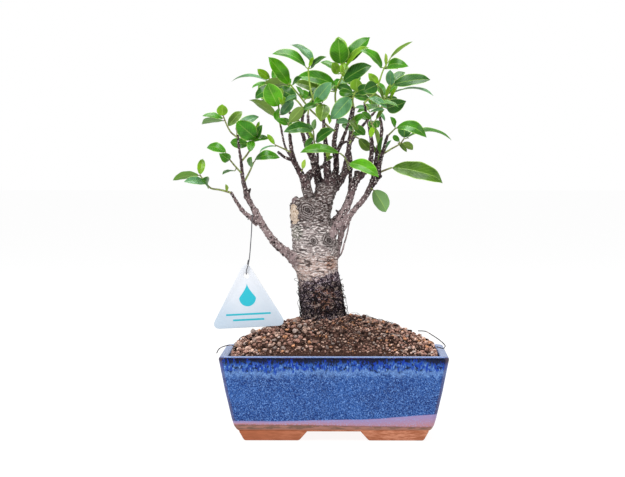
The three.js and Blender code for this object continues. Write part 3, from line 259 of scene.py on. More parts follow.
# Shoots, each with the radius of its stem at root and tip, the places that the stem passes through, and its
# leaves as rows of (x, y, z) at the base, (x, y, z) at the tip, width, show, arch and tone.
SHOOTS: dict[str, Shoot] = {
    "left_low_tip": shoot(
        (1, 0.7), [
            (-92, -44, 219), (-101.5, -43, 221.5), (-110, -42, 223), (-114, -42, 227), (-119.5, -44, 234.5),
        ],
        (-120.5, -44, 234.5, -144, -40, 230, 11, -0.6, 2.2, GREEN),
        (-114.5, -42, 227.5, -132.5, -54, 229, 10, 0.7, 1.8, SILVER),
        (-113.5, -44, 226, -116.5, -66, 230.5, 10.5, 0.6, 2.7, DARK),
        (-119.5, -44, 235.5, -117.5, -40, 249.5, 7, 1, 0.9, YOUNG),
        (-95.5, -44, 220.5, -96.5, -48, 226.5, 3.5, 0.8, 0.5, BUD),
    ),
    "left_mid": shoot(
        (0.95, 0.65), [(-82.5, -35, 236), (-87, -38, 241), (-93, -42, 248.5), (-96, -43, 253.5)],
        (-88.5, -40, 238.5, -99, -50, 236, 7, 0.3, 0.9, DARK),
        (-93.5, -43, 248, -100.5, -60, 254, 9, 1, 0.9, GREEN),
        (-96.5, -43, 255.5, -114, -34, 260, 9.5, 0.9, 3.6, GREEN),
    ),
    "left_inner": shoot(
        (0.95, 0.65), [(-80.5, -34, 228.5), (-76, -28, 237.5), (-72.5, -22, 246)],
        (-75, -26, 242, -74.5, -38, 251, 7, 0.8, 0.5, GREEN),
        (-71, -21, 249, -49, -28, 250, 10.5, 0.8, 4.5, GREEN),
    ),
    "left_top": shoot(
        (0.95, 0.65), [(-83.5, -36, 246), (-76, -28, 256.5), (-73, -22, 267), (-71, -19, 274)],
        (-77, -28, 262, -93.5, -24, 264.5, 9.5, 1, 1.8, GREEN),
        (-74.5, -25, 264, -58.5, -18, 268, 8.5, 0.6, 1.8, GREEN),
        (-74, -25, 265.5, -75.5, -38, 255.5, 7.5, 1, 0.9, GREEN),
        (-71, -23, 268, -87.5, -32, 282.5, 17, 1, 1.8, BRIGHT),
        (-70, -21, 268.5, -64.5, -31, 279, 8, 0.9, 0.9, DARK),
        (-72.5, -19, 269.5, -82, -8, 274.5, 7, 0.8, 0.9, GREEN),
        (-70, -18, 274.5, -67.5, -17, 283, 4, 0.8, 0, YOUNG),
    ),
    "left_crown": shoot(
        (0.9, 0.6), [(-86, -40, 268), (-92, -44, 273), (-95.5, -47, 279.5), (-98.5, -49, 287.5)],
        (-99, -49, 287.5, -99.5, -53, 297.5, 10, 1, 0, YOUNG),
        (-99, -49, 285, -116.5, -55, 287, 8.5, 0.6, 1.8, GREEN),
        (-98, -48, 283, -118.5, -38, 281.5, 10.5, -0.4, 0.9, SILVER),
        (-94, -45, 278.5, -82.5, -38, 292, 9, 0.95, 0.9, OLIVE),
        (-88, -30, 277, -68, -12, 288.5, 10, 0.8, 0.9, SILVER),
    ),
    "inner_left": shoot(
        (0.9, 0.65), [(-48.5, -5, 277.5), (-50, -4, 286), (-50.5, -4, 296), (-50.5, -5, 301.5)],
        (-51, -8, 297, -60.5, -16, 317, 17.5, 1, 0.9, FRESH),
        (-50, -5, 302.5, -48, -3, 313.5, 5.5, 1, 0, YOUNG),
        (-50, -6, 295, -51, -18, 283.5, 8, 0.7, 1.8, GREEN),
        (-54, 2, 313.5, -72.5, 6, 304.5, 12.5, 0.85, 2.7, DARK),
        (-53, -3, 297, -68.5, 12, 301, 8, -0.4, 0.9, SILVER),
        (-52, 1, 313, -34, -3, 303.5, 12.5, 0.9, 1.2, DARK),
        (-48.5, -4, 289, -37.5, 4, 303, 9, 1, 0.9, SILVER),
        (-53, -6, 287.5, -76, -18, 303.5, 11, -0.7, 1.4, OLIVE),
        (-45.5, -8, 299, -50, -12, 306, 7, 0.9, 0.9, YOUNG),
        (-45.5, -8, 301.5, -33.5, -14, 306, 5.5, 0.7, 0.9, SILVER),
        (-48.5, -4, 286, -38, -14, 278, 7, 0.8, 0.9, GREEN),
    ),
    "inner_low_left": shoot(
        (0.85, 0.6), [(-38, -21, 254.5), (-46, -27, 258.5), (-52.5, -31, 261.5)],
        (-53.5, -31, 262.5, -60, -34, 271, 5, 0.8, 0, YOUNG),
        (-52, -31, 260.5, -67, -38, 255.5, 4, 0.4, 1.8, SILVER),
    ),
    "spur_low": shoot(
        (0.8, 0.6), [(-30.5, -14, 236.5), (-28.5, -19, 240)],
        (-28.5, -19, 240.5, -26, -24, 248.5, 4.5, 0.9, 0, BUD),
    ),
    "middle_twig": shoot(
        (0.9, 0.65), [(-16, -10, 259), (-18, -13, 263.5), (-18.5, -16, 271.5), (-19, -17, 275)],
        (-20.5, -17, 274.5, -44.5, -34, 272.5, 13.5, 0.8, 5.4, DARK),
        (-16.5, -15, 265, -1, -31, 275.5, 11.5, 0.8, 1.8, DARK),
        (-19, -16, 268.5, -23, -22, 272.5, 4, 0.8, 0, BUD),
        (-18.5, -17, 276, -17, -12, 285, 5, -0.9, 0.9, SILVER),
        (-19, -14, 274.5, -28.5, -6, 280.5, 6, 0.8, 0.9, DARK),
        (-18.5, -12, 268, -26.5, -4, 259, 6.5, 0.8, 0.9, GREEN),
        (-15, -12, 263, -7, -17, 256.5, 5, 0.8, 0.5, GREEN),
    ),
    "front_left_tip": shoot(
        (0.9, 0.65), [(-40, -26, 271), (-40.5, -28, 277), (-41, -29, 281)],
        (-40, -30, 282, -28, -38, 295.5, 10, -1, 0.9, OLIVE),
        (-42, -29, 280.5, -52, -38, 284, 6.5, 0.9, 0.9, GREEN),
    ),
    "tall_left": shoot(
        (1.1, 0.7), [
            (0.5, 21, 274.5), (-5, 16, 278), (-14, 12, 286.5), (-22, 8, 294), (-31, 4, 305.5),
            (-40, 0, 316.5),
        ],
        (-41.5, -1, 317.5, -59.5, -12, 340.5, 14.5, 0.9, 1.8, FRESH),
        (-42, 1, 316.5, -65, 14, 315.5, 12, -0.7, 2.7, OLIVE),
        (-38, -1, 316.5, -30, -14, 322.5, 7.5, 0.6, 0.9, DARK),
        (-29.5, 5, 306.5, -35, 16, 316, 7, 0.6, 0.9, GREEN),
        (-17, 6, 299, -28.5, -4, 293.5, 7.5, 0.9, 0.9, GREEN),
        (-23, 6, 305.5, -15, 14, 314, 7.5, 0.9, 0.9, DARK),
    ),
    "tall_left_back": shoot(
        (0.95, 0.65), [
            (-28.5, 32.5, 295), (-34.5, 36, 302.5), (-41.5, 39, 308), (-50.5, 43, 315.5),
            (-58.5, 46, 321.5),
        ],
        (-62, 47, 321, -96.5, 56, 321.5, 11, 0.25, 4.5, SILVER),
        (-60.5, 46, 323.5, -71.5, 40, 331.5, 7.5, 1, 0, YOUNG),
        (-56, 44, 319, -76.5, 32, 315, 11, 0.4, 0.9, GREEN),
        (-57.5, 46, 323.5, -52, 56, 335.5, 7.5, 1, 0.9, GREEN),
        (-44, 41, 311.5, -41.5, 52, 324, 8, 0.8, 0.9, GREEN),
    ),
    "tall_centre": shoot(
        (1, 0.65), [
            (-9, -24.5, 292), (-10.5, -28, 295), (-16.5, -27, 299.5), (-20.5, -25, 309), (-22.5, -22, 320),
            (-23.5, -21, 330),
        ],
        (-26, -21, 332.5, -55.5, -26, 343.5, 15, 0.6, 5.4, GREEN),
        (-19, -19, 334.5, -40, -8, 353, 14, 0.5, 3.6, SILVER),
        (-22.5, -22, 332.5, -18.5, -28, 340, 5, 0.7, 0, YOUNG),
        (-21, -21, 330.5, -7.5, -34, 340, 9.5, 0.6, 1.8, DARK),
        (-17, -27, 301, -3, -38, 317.5, 12.5, 1, 0.9, SILVER),
        (-9, -29.5, 298, -12, -41, 283, 13, 1, 1.8, OLIVE),
        (-9, -29, 293, -3.5, -33, 280.5, 6.5, 0.5, 0.9, YOUNG),
        (-6.5, -25, 305.5, -18, -34, 298.5, 7.5, 0.9, 0.9, GREEN),
        (-8.5, -24, 309.5, -0.5, -14, 316.5, 8, 0.8, 0.9, DARK),
    ),
    "top": shoot(
        (1.05, 0.7), [
            (5, 27.5, 291), (1.5, 26, 298.5), (1, 23, 310.5), (6, 19, 322.5), (8.5, 17, 329.5),
            (7, 16, 335),
        ],
        (5.5, 15, 336, 3.5, 5, 358.5, 18, 1, 0.9, FRESH),
        (7.5, 17, 337.5, 3.5, 30, 362, 13, 0.9, 0.9, YOUNG),
        (9.5, 16, 337.5, 32.5, 10, 359.5, 15, 0.9, 1.8, BRIGHT),
        (10, 14, 330.5, 30, -2, 351, 15, 0.4, 2.7, YOUNG),
        (8.5, 17, 320.5, 33, 2, 334.5, 15, 0.9, 1.8, DARK),
        (3, 10, 326.5, -1.5, 2, 337, 9, 0.95, 0, YOUNG),
        (3, 19, 329.5, -12.5, 30, 339, 10, 0.6, 0.9, GREEN),
        (1, 18, 315, -34.5, 4, 324, 15, 0.85, 6.3, GREEN),
        (3.5, 24, 314, 15, 38, 324.5, 9.5, 0.8, 0.9, GREEN),
        (3, 22, 316, 16, 12, 310, 9, 0.9, 0.9, DARK),
        (1.5, 24, 310.5, -8, 34, 320, 8, 0.8, 0.9, DARK),
        (-12, 24, 312, -37, 20, 319, 10.5, 0.9, 1.8, OLIVE),
    ),
    "right_top": shoot(
        (0.95, 0.65), [
            (27, -29, 299.5), (35.5, -32, 307), (40, -34, 317), (43.5, -35, 327.5), (46, -35, 332.5),
        ],
        (42.5, -35, 330.5, 24, -44, 346.5, 12, 0.7, 3.6, GREEN),
        (46, -35, 333.5, 46, -36, 343.5, 4.5, 0.7, 0, BUD),
        (50.5, -36, 339.5, 70, -40, 353.5, 8, 0.45, 1.2, OLIVE),
        (47.5, -36, 331, 65.5, -52, 331.5, 11, 0.9, 5.4, GREEN),
        (44.5, -34, 329.5, 57, -38, 330, 5.5, 0.6, 0.9, OLIVE),
        (39, -34, 316.5, 30.5, -40, 325, 7.5, 1, 0.9, YOUNG),
        (38, -36, 315, 26.5, -50, 309.5, 12, 1, 0.9, DARK),
        (31, -30, 304.5, 47, -42, 295, 7.5, 0.8, 1.8, SILVER),
        (34, -32, 298.5, 58, -44, 296, 6.5, 0.6, 2.7, GREEN),
        (32, -30, 291, 45, -40, 293, 6, 0.5, 0.9, SILVER),
    ),
    "right_upper": shoot(
        (0.95, 0.65), [(42, 34.5, 290), (44.5, 33, 299.5), (50, 31, 310.5), (51.5, 30, 315)],
        (51.5, 30, 316.5, 51, 26, 330.5, 8.5, 1, 0, SILVER),
        (54, 30, 317.5, 87.5, 20, 322, 14, 0.8, 1.8, DARK),
        (52.5, 33, 319.5, 64.5, 46, 330, 9.5, 0.8, 0.9, DARK),
        (52.5, 30, 309, 91, 18, 307.5, 10, 0.1, 5.4, SILVER),
        (48, 31, 295.5, 65, 12, 300.5, 13.5, 1, 1.8, DARK),
        (47.5, 34, 299.5, 62.5, 52, 296.5, 11, 0.5, 0.9, GREEN),
        (41.5, 35, 303, 29, 48, 309.5, 9, -0.8, 0.9, OLIVE),
        (40.5, 34, 297, 20.5, 40, 292, 10, 0.6, 1.8, GREEN),
        (44.5, 26, 302.5, 40.5, 16, 316, 3.6, 0.8, 0.9, OLIVE),
        (47.5, 26, 305, 51, 20, 317.5, 3.6, 0.8, 0.9, YOUNG),
        (45.5, 26, 297.5, 38, 16, 308.5, 3.6, 0.8, 0.9, OLIVE),
        (51, 26, 303, 57, 20, 315, 3.6, 0.8, 0.9, YOUNG),
        (40, 24, 293, 46, 18, 284, 4.2, 0.8, 0.9, SILVER),
    ),
    "centre_fork_tip": shoot(
        (0.9, 0.65), [(16.5, -20.5, 295.5), (17, -22, 304), (19, -23, 309)],
        (19.5, -25, 310, 20.5, -29, 321, 11.5, 1, 0, YOUNG),
        (21, -24, 309.5, 33, -34, 314, 10, 1, 0.9, DARK),
        (16.5, -23, 308, 4, -16, 309, 7.5, 1, 1.8, GREEN),
        (18.5, -22, 304.5, 32, -14, 302.5, 7, 0.9, 1.8, GREEN),
        (14.5, -24, 304, -2.5, -33, 284.5, 14.5, 1, 2.7, SILVER),
        (19.5, -20, 295, 32, -8, 294.5, 6, 0.6, 0.9, SILVER),
        (16.5, -18, 306, 9, -8, 297, 8, 0.9, 0.9, DARK),
    ),
    "right_low": shoot(
        (0.9, 0.65), [(43.5, 2, 253), (51.5, 4, 258), (60, 6, 263), (63.5, 7, 267.5)],
        (59, 6, 265, 53.5, 14, 270.5, 5, 1, 0, GREEN),
        (62, 5, 263, 72, -6, 258.5, 7, -0.9, 0.9, OLIVE),
        (63.5, 8, 268.5, 64.5, 12, 281, 12.5, 1, 0.9, DARK),
        (65.5, 7, 268, 107, 8, 266.5, 16.5, 0.2, 7.2, GREEN),
        (58, 6, 263.5, 66.5, 12, 255.5, 5, 0.8, 0.5, OLIVE),
    ),
    "right_out": shoot(
        (0.85, 0.65), [(48.5, -6.5, 270), (52, -10, 273.5), (55, -12, 276.5)],
        (56.5, -13, 277.5, 83, -20, 269, 13.5, 0.8, 7.2, GREEN),
        (55, -13, 278.5, 50.5, -22, 286.5, 6, 0.8, 0.9, GREEN),
    ),
    "right_side": shoot(
        (1, 0.8), [(39.5, 12, 236), (45.5, 9, 238.5), (52, 7, 241)],
        (53, 6.5, 241, 99, -2, 230, 19, 0.8, 3.6, MOSS),
    ),
    "spur_outer": shoot(
        (0.8, 0.6), [(39, 15.5, 247.5), (41.5, 22, 250.5)],
        (42, 23, 250.5, 47, 30, 260, 6, 0.7, 0, GREEN),
        (40.5, 14, 245.5, 46, 6, 260, 5, 0.7, 0.9, OLIVE),
        (41, 18, 254, 43.5, 12, 269, 4.5, 0.8, 0.9, GREEN),
        (39, 22, 253, 32, 26, 263, 5, 0.8, 0.9, OLIVE),
        (45, 18, 256, 52, 14, 266, 4.5, 0.7, 0.9, SILVER),
    ),
    "middle_right": shoot(
        (0.95, 0.7), [(14, 22, 238.5), (12.5, 10, 241), (12, -3, 245), (9, -13, 251), (5.5, -18, 254)],
        (14, -10, 245, 39.5, -27, 233.5, 15, 0.8, 4.5, FRESH),
        (4, -18.5, 254.5, -30.5, -25, 255.5, 13, 0.6, 3.6, FRESH),
    ),
    "hanging": shoot(
        (0.9, 0.7), [(33, 12, 222.5), (35, 5, 221)],
        (36, 3, 220.5, 47.5, -4, 201, 15.5, -0.95, 1.8, SILVER),
    ),
    "spur_right": shoot(
        (0.8, 0.6), [(31.5, -22, 278), (33.5, -27, 280), (35, -29, 278.5)],
        (34.5, -29.5, 277.5, 32.5, -35, 268.5, 5, 1, 0, YOUNG),
        (34, -27, 281.5, 41.5, -16, 280, 6.5, 1, 0.9, GREEN),
        (36, -29, 277.5, 39, -24, 263, 7, -0.6, 0.9, OLIVE),
        (35, -27, 274, 33, -22, 284, 8.5, 0.9, 0.9, GREEN),
        (33, -26, 285, 25, -31, 291, 5.5, 0.9, 0.5, GREEN),
        (38, -25, 285, 45, -30, 293.5, 5, 0.7, 0.9, OLIVE),
    ),
    "fork_side": shoot(
        (0.8, 0.6), [(12, -11, 278.5), (16, -16, 281), (17.5, -18, 283)],
        (17, -17, 280, 28.5, -12, 271, 7.5, 1, 0.9, GREEN),
        (18.5, -19, 283.5, 26, -27, 290, 5.5, 1, 0, GREEN),
        (13, -18, 282, 1.5, -8, 283, 7, 0.8, 0.9, SILVER),
        (15, -16, 279.5, 25, -8, 289.5, 7, -0.8, 0.9, OLIVE),
        (14, -18, 284, 21, -27, 275, 6, 0.8, 0.5, OLIVE),
        (20, -16, 288, 30, -20, 284, 6, 0.7, 0.9, GREEN),
    ),
    "back_fork_side": shoot(
        (0.8, 0.6), [(17.5, 20, 270), (22, 26, 268)],
        (22.5, 26, 267.5, 33, 34, 256.5, 9, 1, 0.9, OLIVE),
    ),
    "spur_centre": shoot(
        (0.75, 0.6), [(-6.5, -8, 247.5), (-5.5, -13, 249.5)],
        (-5.5, -14, 250, -6, -21, 258.5, 5, 0.8, 0, BUD),
        (-7.5, -12, 248, -1, -20, 251, 4, 0.8, 0.5, OLIVE),
    ),
    "back_left_tip": shoot(
        (0.9, 0.65), [(-25, 60, 289.5), (-24, 65, 298.5), (-19.5, 69, 308)],
        (-19, 69.5, 309.5, -10, 78, 320, 9, 1, 0.9, BRIGHT),
        (-22, 68, 306, -33.5, 78, 312, 8, 1, 0.9, GREEN),
        (-24, 67, 301.5, -12, 80, 299.5, 8, 0.9, 0.9, DARK),
        (-25, 64, 296.5, -34.5, 76, 292, 7.5, 1, 1.8, GREEN),
        (-20.5, 66, 305, -15.5, 54, 315, 7.5, 1, 0.9, YOUNG),
    ),
    "back_left_far": shoot(
        (0.9, 0.65), [(-46.5, 65.5, 296), (-52.5, 70, 303), (-59, 73, 309)],
        (-60.5, 73.5, 310, -72.5, 80, 317.5, 8, 1, 0.9, BRIGHT),
        (-57, 73, 308, -47, 82, 317.5, 8, 1, 0.9, GREEN),
        (-53.5, 71, 303, -67, 82, 298.5, 8, 0.9, 1.8, DARK),
        (-50, 69, 301, -39.5, 80, 298, 7.5, 1, 0.9, GREEN),
        (-57.5, 72, 307, -68, 58, 305, 8, 0.8, 0.9, OLIVE),
    ),
    "back_right_tip": shoot(
        (0.9, 0.65), [(18, 65.5, 296), (16, 70, 306), (11.5, 73, 315.5), (10.5, 75, 323)],
        (10.5, 75, 324.5, 7.5, 80, 340, 9, 1, 0.9, YOUNG),
        (12, 75, 319.5, 24.5, 84, 327, 8, 1, 0.9, GREEN),
        (11, 72, 316, -1, 80, 323, 8, 1, 0.9, BRIGHT),
        (14, 72, 310, 27.5, 82, 306.5, 8, 0.9, 1.8, DARK),
        (15, 69, 306.5, 5, 80, 298.5, 8, 0.9, 1.8, GREEN),
    ),
    "back_right_far": shoot(
        (0.9, 0.65), [(37.5, 67.5, 292.5), (42.5, 71, 301.5), (48, 74, 309)],
        (49, 74.5, 310.5, 58.5, 80, 319.5, 8, 1, 0.9, BRIGHT),
        (47, 74, 308.5, 40.5, 82, 320.5, 8, 1, 0.9, GREEN),
        (45.5, 73, 304.5, 59.5, 82, 304.5, 7.5, 1, 0.9, DARK),
        (41.5, 71, 300.5, 31, 80, 306, 7.5, 1, 0.9, GREEN),
        (44.5, 71, 303.5, 52.5, 58, 300.5, 7, 0.9, 0.9, GREEN),
    ),
    "back_crown": shoot(
        (0.85, 0.65), [(13.5, 35.5, 262), (16, 40, 269), (17.5, 43, 276.5)],
        (17.5, 43.5, 278, 20.5, 50, 289, 6.5, 1, 0.9, BRIGHT),
        (16.5, 42.5, 275, 7, 52, 281.5, 7, 0.9, 0.9, DARK),
        (17, 40, 271.5, 27, 48, 276, 6.5, 1, 0.9, GREEN),
    ),
}

# Loops of root that lie on the soil.
ROOT_LOOPS: list[list[Place]] = [
    [(-58, -55, 75), (-56, -56, 79), (-52, -56, 82), (-47, -56, 82.5), (-43.5, -56, 80.5)],
    [(-104.2, -58, 76.5), (-102, -58, 80.5), (-96.7, -57, 83), (-91.4, -56, 83.5), (-86, -55, 81.5)],
    [(-86.3, -30, 83), (-84.5, -30, 88), (-80, -30, 89.8), (-77.3, -30, 87)],
    [
        (35, -46, 91), (40, -48, 92.5), (47, -49, 93.5), (55, -50, 92.5), (61, -51, 88), (66, -51, 84),
        (70, -51, 79),
    ],
    [(9, -23, 102), (14, -26, 103.5), (18, -27, 103), (20, -26, 100)],
    [
        (74.8, -45, 95.8), (81.9, -45, 95.3), (87.3, -45, 92.2), (92.6, -44, 88.7), (97.3, -42, 84.8),
        (99.5, -41, 81.8), (98.4, -41, 79.9), (94.4, -42, 80.6), (91.7, -43, 81.5),
    ],
    [(-40, -30, 95), (-34, -34, 97), (-28, -35, 98), (-22, -34, 98)],
]


# ---- places and curves ----


def ease(value: np.ndarray | float, low: float, high: float) -> np.ndarray | float:
    """Rise smoothly from 0 at low to 1 at high."""
    share = np.clip((value - low) / (high - low), 0.0, 1.0)
    return share * share * (3 - 2 * share)


def smooth_rows(rows: Sequence[Sequence[float]], step: float) -> np.ndarray:
    """Draw a centripetal Catmull-Rom curve through rows whose first three numbers are a place.

    Args:
        rows: The rows to pass through; further columns, such as a radius, are carried along.
        step: The distance between the points of the result, about.

    Returns:
        The points of the curve, one row each.
    """
    knots = np.array(rows, float)
    knots = np.vstack([2 * knots[0] - knots[1], knots, 2 * knots[-1] - knots[-2]])
    points = [knots[1]]
    for before, start, end, after in zip(knots, knots[1:], knots[2:], knots[3:]):
        gaps = [float(np.linalg.norm((b - a)[:3])) for a, b in pairwise((before, start, end, after))]
        pace = [max(gap**0.5, 1e-4) for gap in gaps]
        middle = (end - start) / pace[1]
        slope_in = ((start - before) / pace[0] - (end - before) / (pace[0] + pace[1]) + middle) * pace[1]
        slope_out = (middle - (after - start) / (pace[1] + pace[2]) + (after - end) / pace[2]) * pace[1]
        count = max(1, round(float(np.linalg.norm((end - start)[:3])) / step))
        for share in np.arange(1, count + 1) / count:
            points.append(
                (2 * share**3 - 3 * share**2 + 1) * start
                + (share**3 - 2 * share**2 + share) * slope_in
                + (3 * share**2 - 2 * share**3) * end
                + (share**3 - share**2) * slope_out
            )
    return np.array(points)


# ---- workbench ----


def take(piece: Object, *others: Object) -> None:
    """Select a piece and others with it, and nothing else, with the first one active.

    Args:
        piece: The piece to work on.
        others: Pieces to select with it.
    """
    bpy.ops.object.select_all(action="DESELECT")
    for each in (piece, *others):
        each.select_set(True)
    bpy.context.view_layer.objects.active = piece


@contextmanager
def edit_mode(piece: Object) -> Iterator[None]:
    """Work on a piece in edit mode, with all of it selected.

    Args:
        piece: The piece.

    Yields:
        Nothing, while the piece is in edit mode.
    """
    take(piece)
    bpy.ops.object.mode_set(mode="EDIT")
    bpy.ops.mesh.select_all(action="SELECT")
    yield
    bpy.ops.object.mode_set(mode="OBJECT")


def select_corners(piece: Object, test: Callable[[Vector], bool]) -> None:
    """In edit mode, select the corners of a piece whose place passes a test, and what lies between them.

    Args:
        piece: The piece.
        test: Tells of a place whether its corner is wanted.
    """
    bpy.ops.mesh.select_mode(type="VERT")
    bpy.ops.mesh.select_all(action="DESELECT")
    mesh = bmesh.from_edit_mesh(piece.data)
    for corner in mesh.verts:
        corner.select_set(test(corner.co))
    mesh.select_flush_mode()
    bmesh.update_edit_mesh(piece.data)


def settle(piece: Object, name: str = "") -> Object:
    """Put a piece's place, turn and scale into its mesh, and name it.

    Args:
        piece: The piece.
        name: Its new name, if it gets one.

    Returns:
        The piece.
    """
    take(piece)
    bpy.ops.object.transform_apply(location=True, rotation=True, scale=True)
    if name:
        piece.name = piece.data.name = name
    return piece


def face_outwards() -> None:
    """In edit mode, point every face of the piece outwards."""
    bpy.ops.mesh.select_all(action="SELECT")
    bpy.ops.mesh.normals_make_consistent(inside=False)


def raise_faces(height: float) -> None:
    """In edit mode, extrude the selected faces upwards by a height in millimetres."""
    bpy.ops.mesh.extrude_region_move(TRANSFORM_OT_translate={"value": (0, 0, height * MM)})


def finish_with(piece: Object, kind: str, **settings: object) -> None:
    """Give a piece a modifier with these settings, and apply it.

    Args:
        piece: The piece.
        kind: The modifier's type.
        settings: Its settings by name.
    """
    take(piece)
    modifier = piece.modifiers.new(kind, kind)
    for name, value in settings.items():
        setattr(modifier, name, value)
    bpy.ops.object.modifier_apply(modifier=modifier.name)


def round_edges(piece: Object, width: float, segments: int, sharper: float = 30) -> None:
    """Round a piece's edges that are sharper than an angle in degrees, over a width in millimetres."""
    limit = {"limit_method": "ANGLE", "angle_limit": math.radians(sharper)}
    finish_with(piece, "BEVEL", width=width * MM, segments=segments, **limit)


def carve(piece: Object, tool: Object, operation: str) -> None:
    """Join a tool to a piece or cut it out of it, and put the tool away."""
    finish_with(piece, "BOOLEAN", object=tool, operation=operation, solver="EXACT")
    bpy.data.objects.remove(tool)


def smooth(piece: Object, degrees: float = 40) -> None:
    """Shade a piece smooth, but for edges sharper than an angle."""
    take(piece)
    bpy.ops.object.shade_smooth_by_angle(angle=math.radians(degrees))


def line_curve(name: str, strands: Sequence[np.ndarray], depth: float, resolution: int) -> Object:
    """Make a curve object with a round section and closed ends.

    Args:
        name: The name of the object.
        strands: For each line its rows of x, y, z and radius, in metres.
        depth: What the radii are multiplied by.
        resolution: How finely the section is divided.

    Returns:
        The curve object.
    """
    curve = bpy.data.curves.new(name, "CURVE")
    curve.dimensions = "3D"
    curve.bevel_depth = depth
    curve.bevel_resolution = resolution
    curve.use_fill_caps = True
    for rows in strands:
        spline = curve.splines.new("POLY")
        spline.points.add(len(rows) - 1)
        spline.points.foreach_set("co", np.column_stack([rows[:, :3], np.ones(len(rows))]).ravel())
        spline.points.foreach_set("radius", rows[:, 3].copy())
    piece = bpy.data.objects.new(name, curve)
    bpy.context.scene.collection.objects.link(piece)
    return piece


def rods(name: str, strands: Sequence[np.ndarray], sides: int) -> Object:
    """Make round rods with closed ends as one mesh.

    Args:
        name: The name of the object.
        strands: For each rod its rows of x, y, z and radius, in metres.
        sides: The number of sides of a rod, which is even and at least 4.

    Returns:
        The mesh object.
    """
    take(line_curve(name, strands, 1.0, sides // 2 - 2))
    bpy.ops.object.convert(target="MESH")
    return bpy.context.object


def mesh_object(name: str, points: np.ndarray, faces: Sequence[Sequence[int]]) -> Object:
    """Make a mesh object of points in metres and faces.

    Args:
        name: Its name.
        points: Its corners.
        faces: The numbers of the corners of each face.

    Returns:
        The mesh object.
    """
    mesh = bpy.data.meshes.new(name)
    mesh.from_pydata(points.tolist(), [], faces)
    mesh.update()
    piece = bpy.data.objects.new(name, mesh)
    bpy.context.scene.collection.objects.link(piece)
    return piece


def mark(piece: Object, name: str, domain: str, values: np.ndarray) -> None:
    """Write an attribute on a piece: numbers, or colours where each value has four parts.

    Args:
        piece: The piece.
        name: The attribute's name.
        domain: What carries it, POINT or CORNER.
        values: Its values.
    """
    kind, part = ("FLOAT_COLOR", "color") if values.ndim == 2 else ("FLOAT", "value")
    attribute = piece.data.attributes.new(name, kind, domain)
    attribute.data.foreach_set(part, values.astype(np.float32).ravel())


def corner_places(piece: Object) -> np.ndarray:
    """Give the places of a piece's corners, one row each.

    Args:
        piece: The piece.

    Returns:
        The places, in metres.
    """
    places = np.empty(len(piece.data.vertices) * 3, np.float32)
    piece.data.vertices.foreach_get("co", places)
    return places.reshape(-1, 3).astype(float)


def place_corners(piece: Object, places: np.ndarray) -> None:
    """Move the corners of a piece to these places."""
    piece.data.vertices.foreach_set("co", places.astype(np.float32).ravel())
    piece.data.update()


def hand_in(piece: Object, slot: Slot, material: Material, *replaced: str) -> Object:
    """Dress a finished piece, fix it to the object, and report it.

    Args:
        piece: The finished piece.
        slot: The record's slot that its finish belongs to.
        material: Its material.
        replaced: The nodes that it stands for.

    Returns:
        The piece.
    """
    piece.data.materials.clear()
    piece.data.materials.append(material)
    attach(piece, BODY)
    if replaced:
        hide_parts(*replaced)
    if piece.type == "MESH":
        LOG.info("%s: %d triangles", piece.name, sum(len(face.vertices) - 2 for face in piece.data.polygons))
    return piece


# ---- shader maths ----


class Signal:
    """An output socket of a material's tree, with arithmetic that adds Math nodes."""

    def __init__(self, paint: "Paint", socket: bpy.types.NodeSocket) -> None:
        """Wrap a socket of a paint's tree."""
        self.paint = paint
        self.socket = socket

    def __add__(self, other: "Signal | float") -> "Signal":
        """Add."""
        return self.paint.math("ADD", self, other)

    def __radd__(self, other: float) -> "Signal":
        """Add to a number."""
        return self.paint.math("ADD", other, self)

    def __sub__(self, other: "Signal | float") -> "Signal":
        """Subtract."""
        return self.paint.math("SUBTRACT", self, other)

    def __rsub__(self, other: float) -> "Signal":
        """Subtract from a number."""
        return self.paint.math("SUBTRACT", other, self)

    def __mul__(self, other: "Signal | float") -> "Signal":
        """Multiply."""
        return self.paint.math("MULTIPLY", self, other)

    def __rmul__(self, other: float) -> "Signal":
        """Multiply a number."""
        return self.paint.math("MULTIPLY", other, self)

    def __truediv__(self, other: "Signal | float") -> "Signal":
        """Divide."""
        return self.paint.math("DIVIDE", self, other)

    def __abs__(self) -> "Signal":
        """Drop the sign."""
        return self.paint.math("ABSOLUTE", self)

    def ease(self, low: float, high: float) -> "Signal":
        """Rise smoothly from 0 at low to 1 at high."""
        settings = {"interpolation_type": "SMOOTHSTEP"}
        return self.paint.node("MapRange", settings, {"Value": self, "From Min": low, "From Max": high})


Feed = Signal | float | Sequence[float]


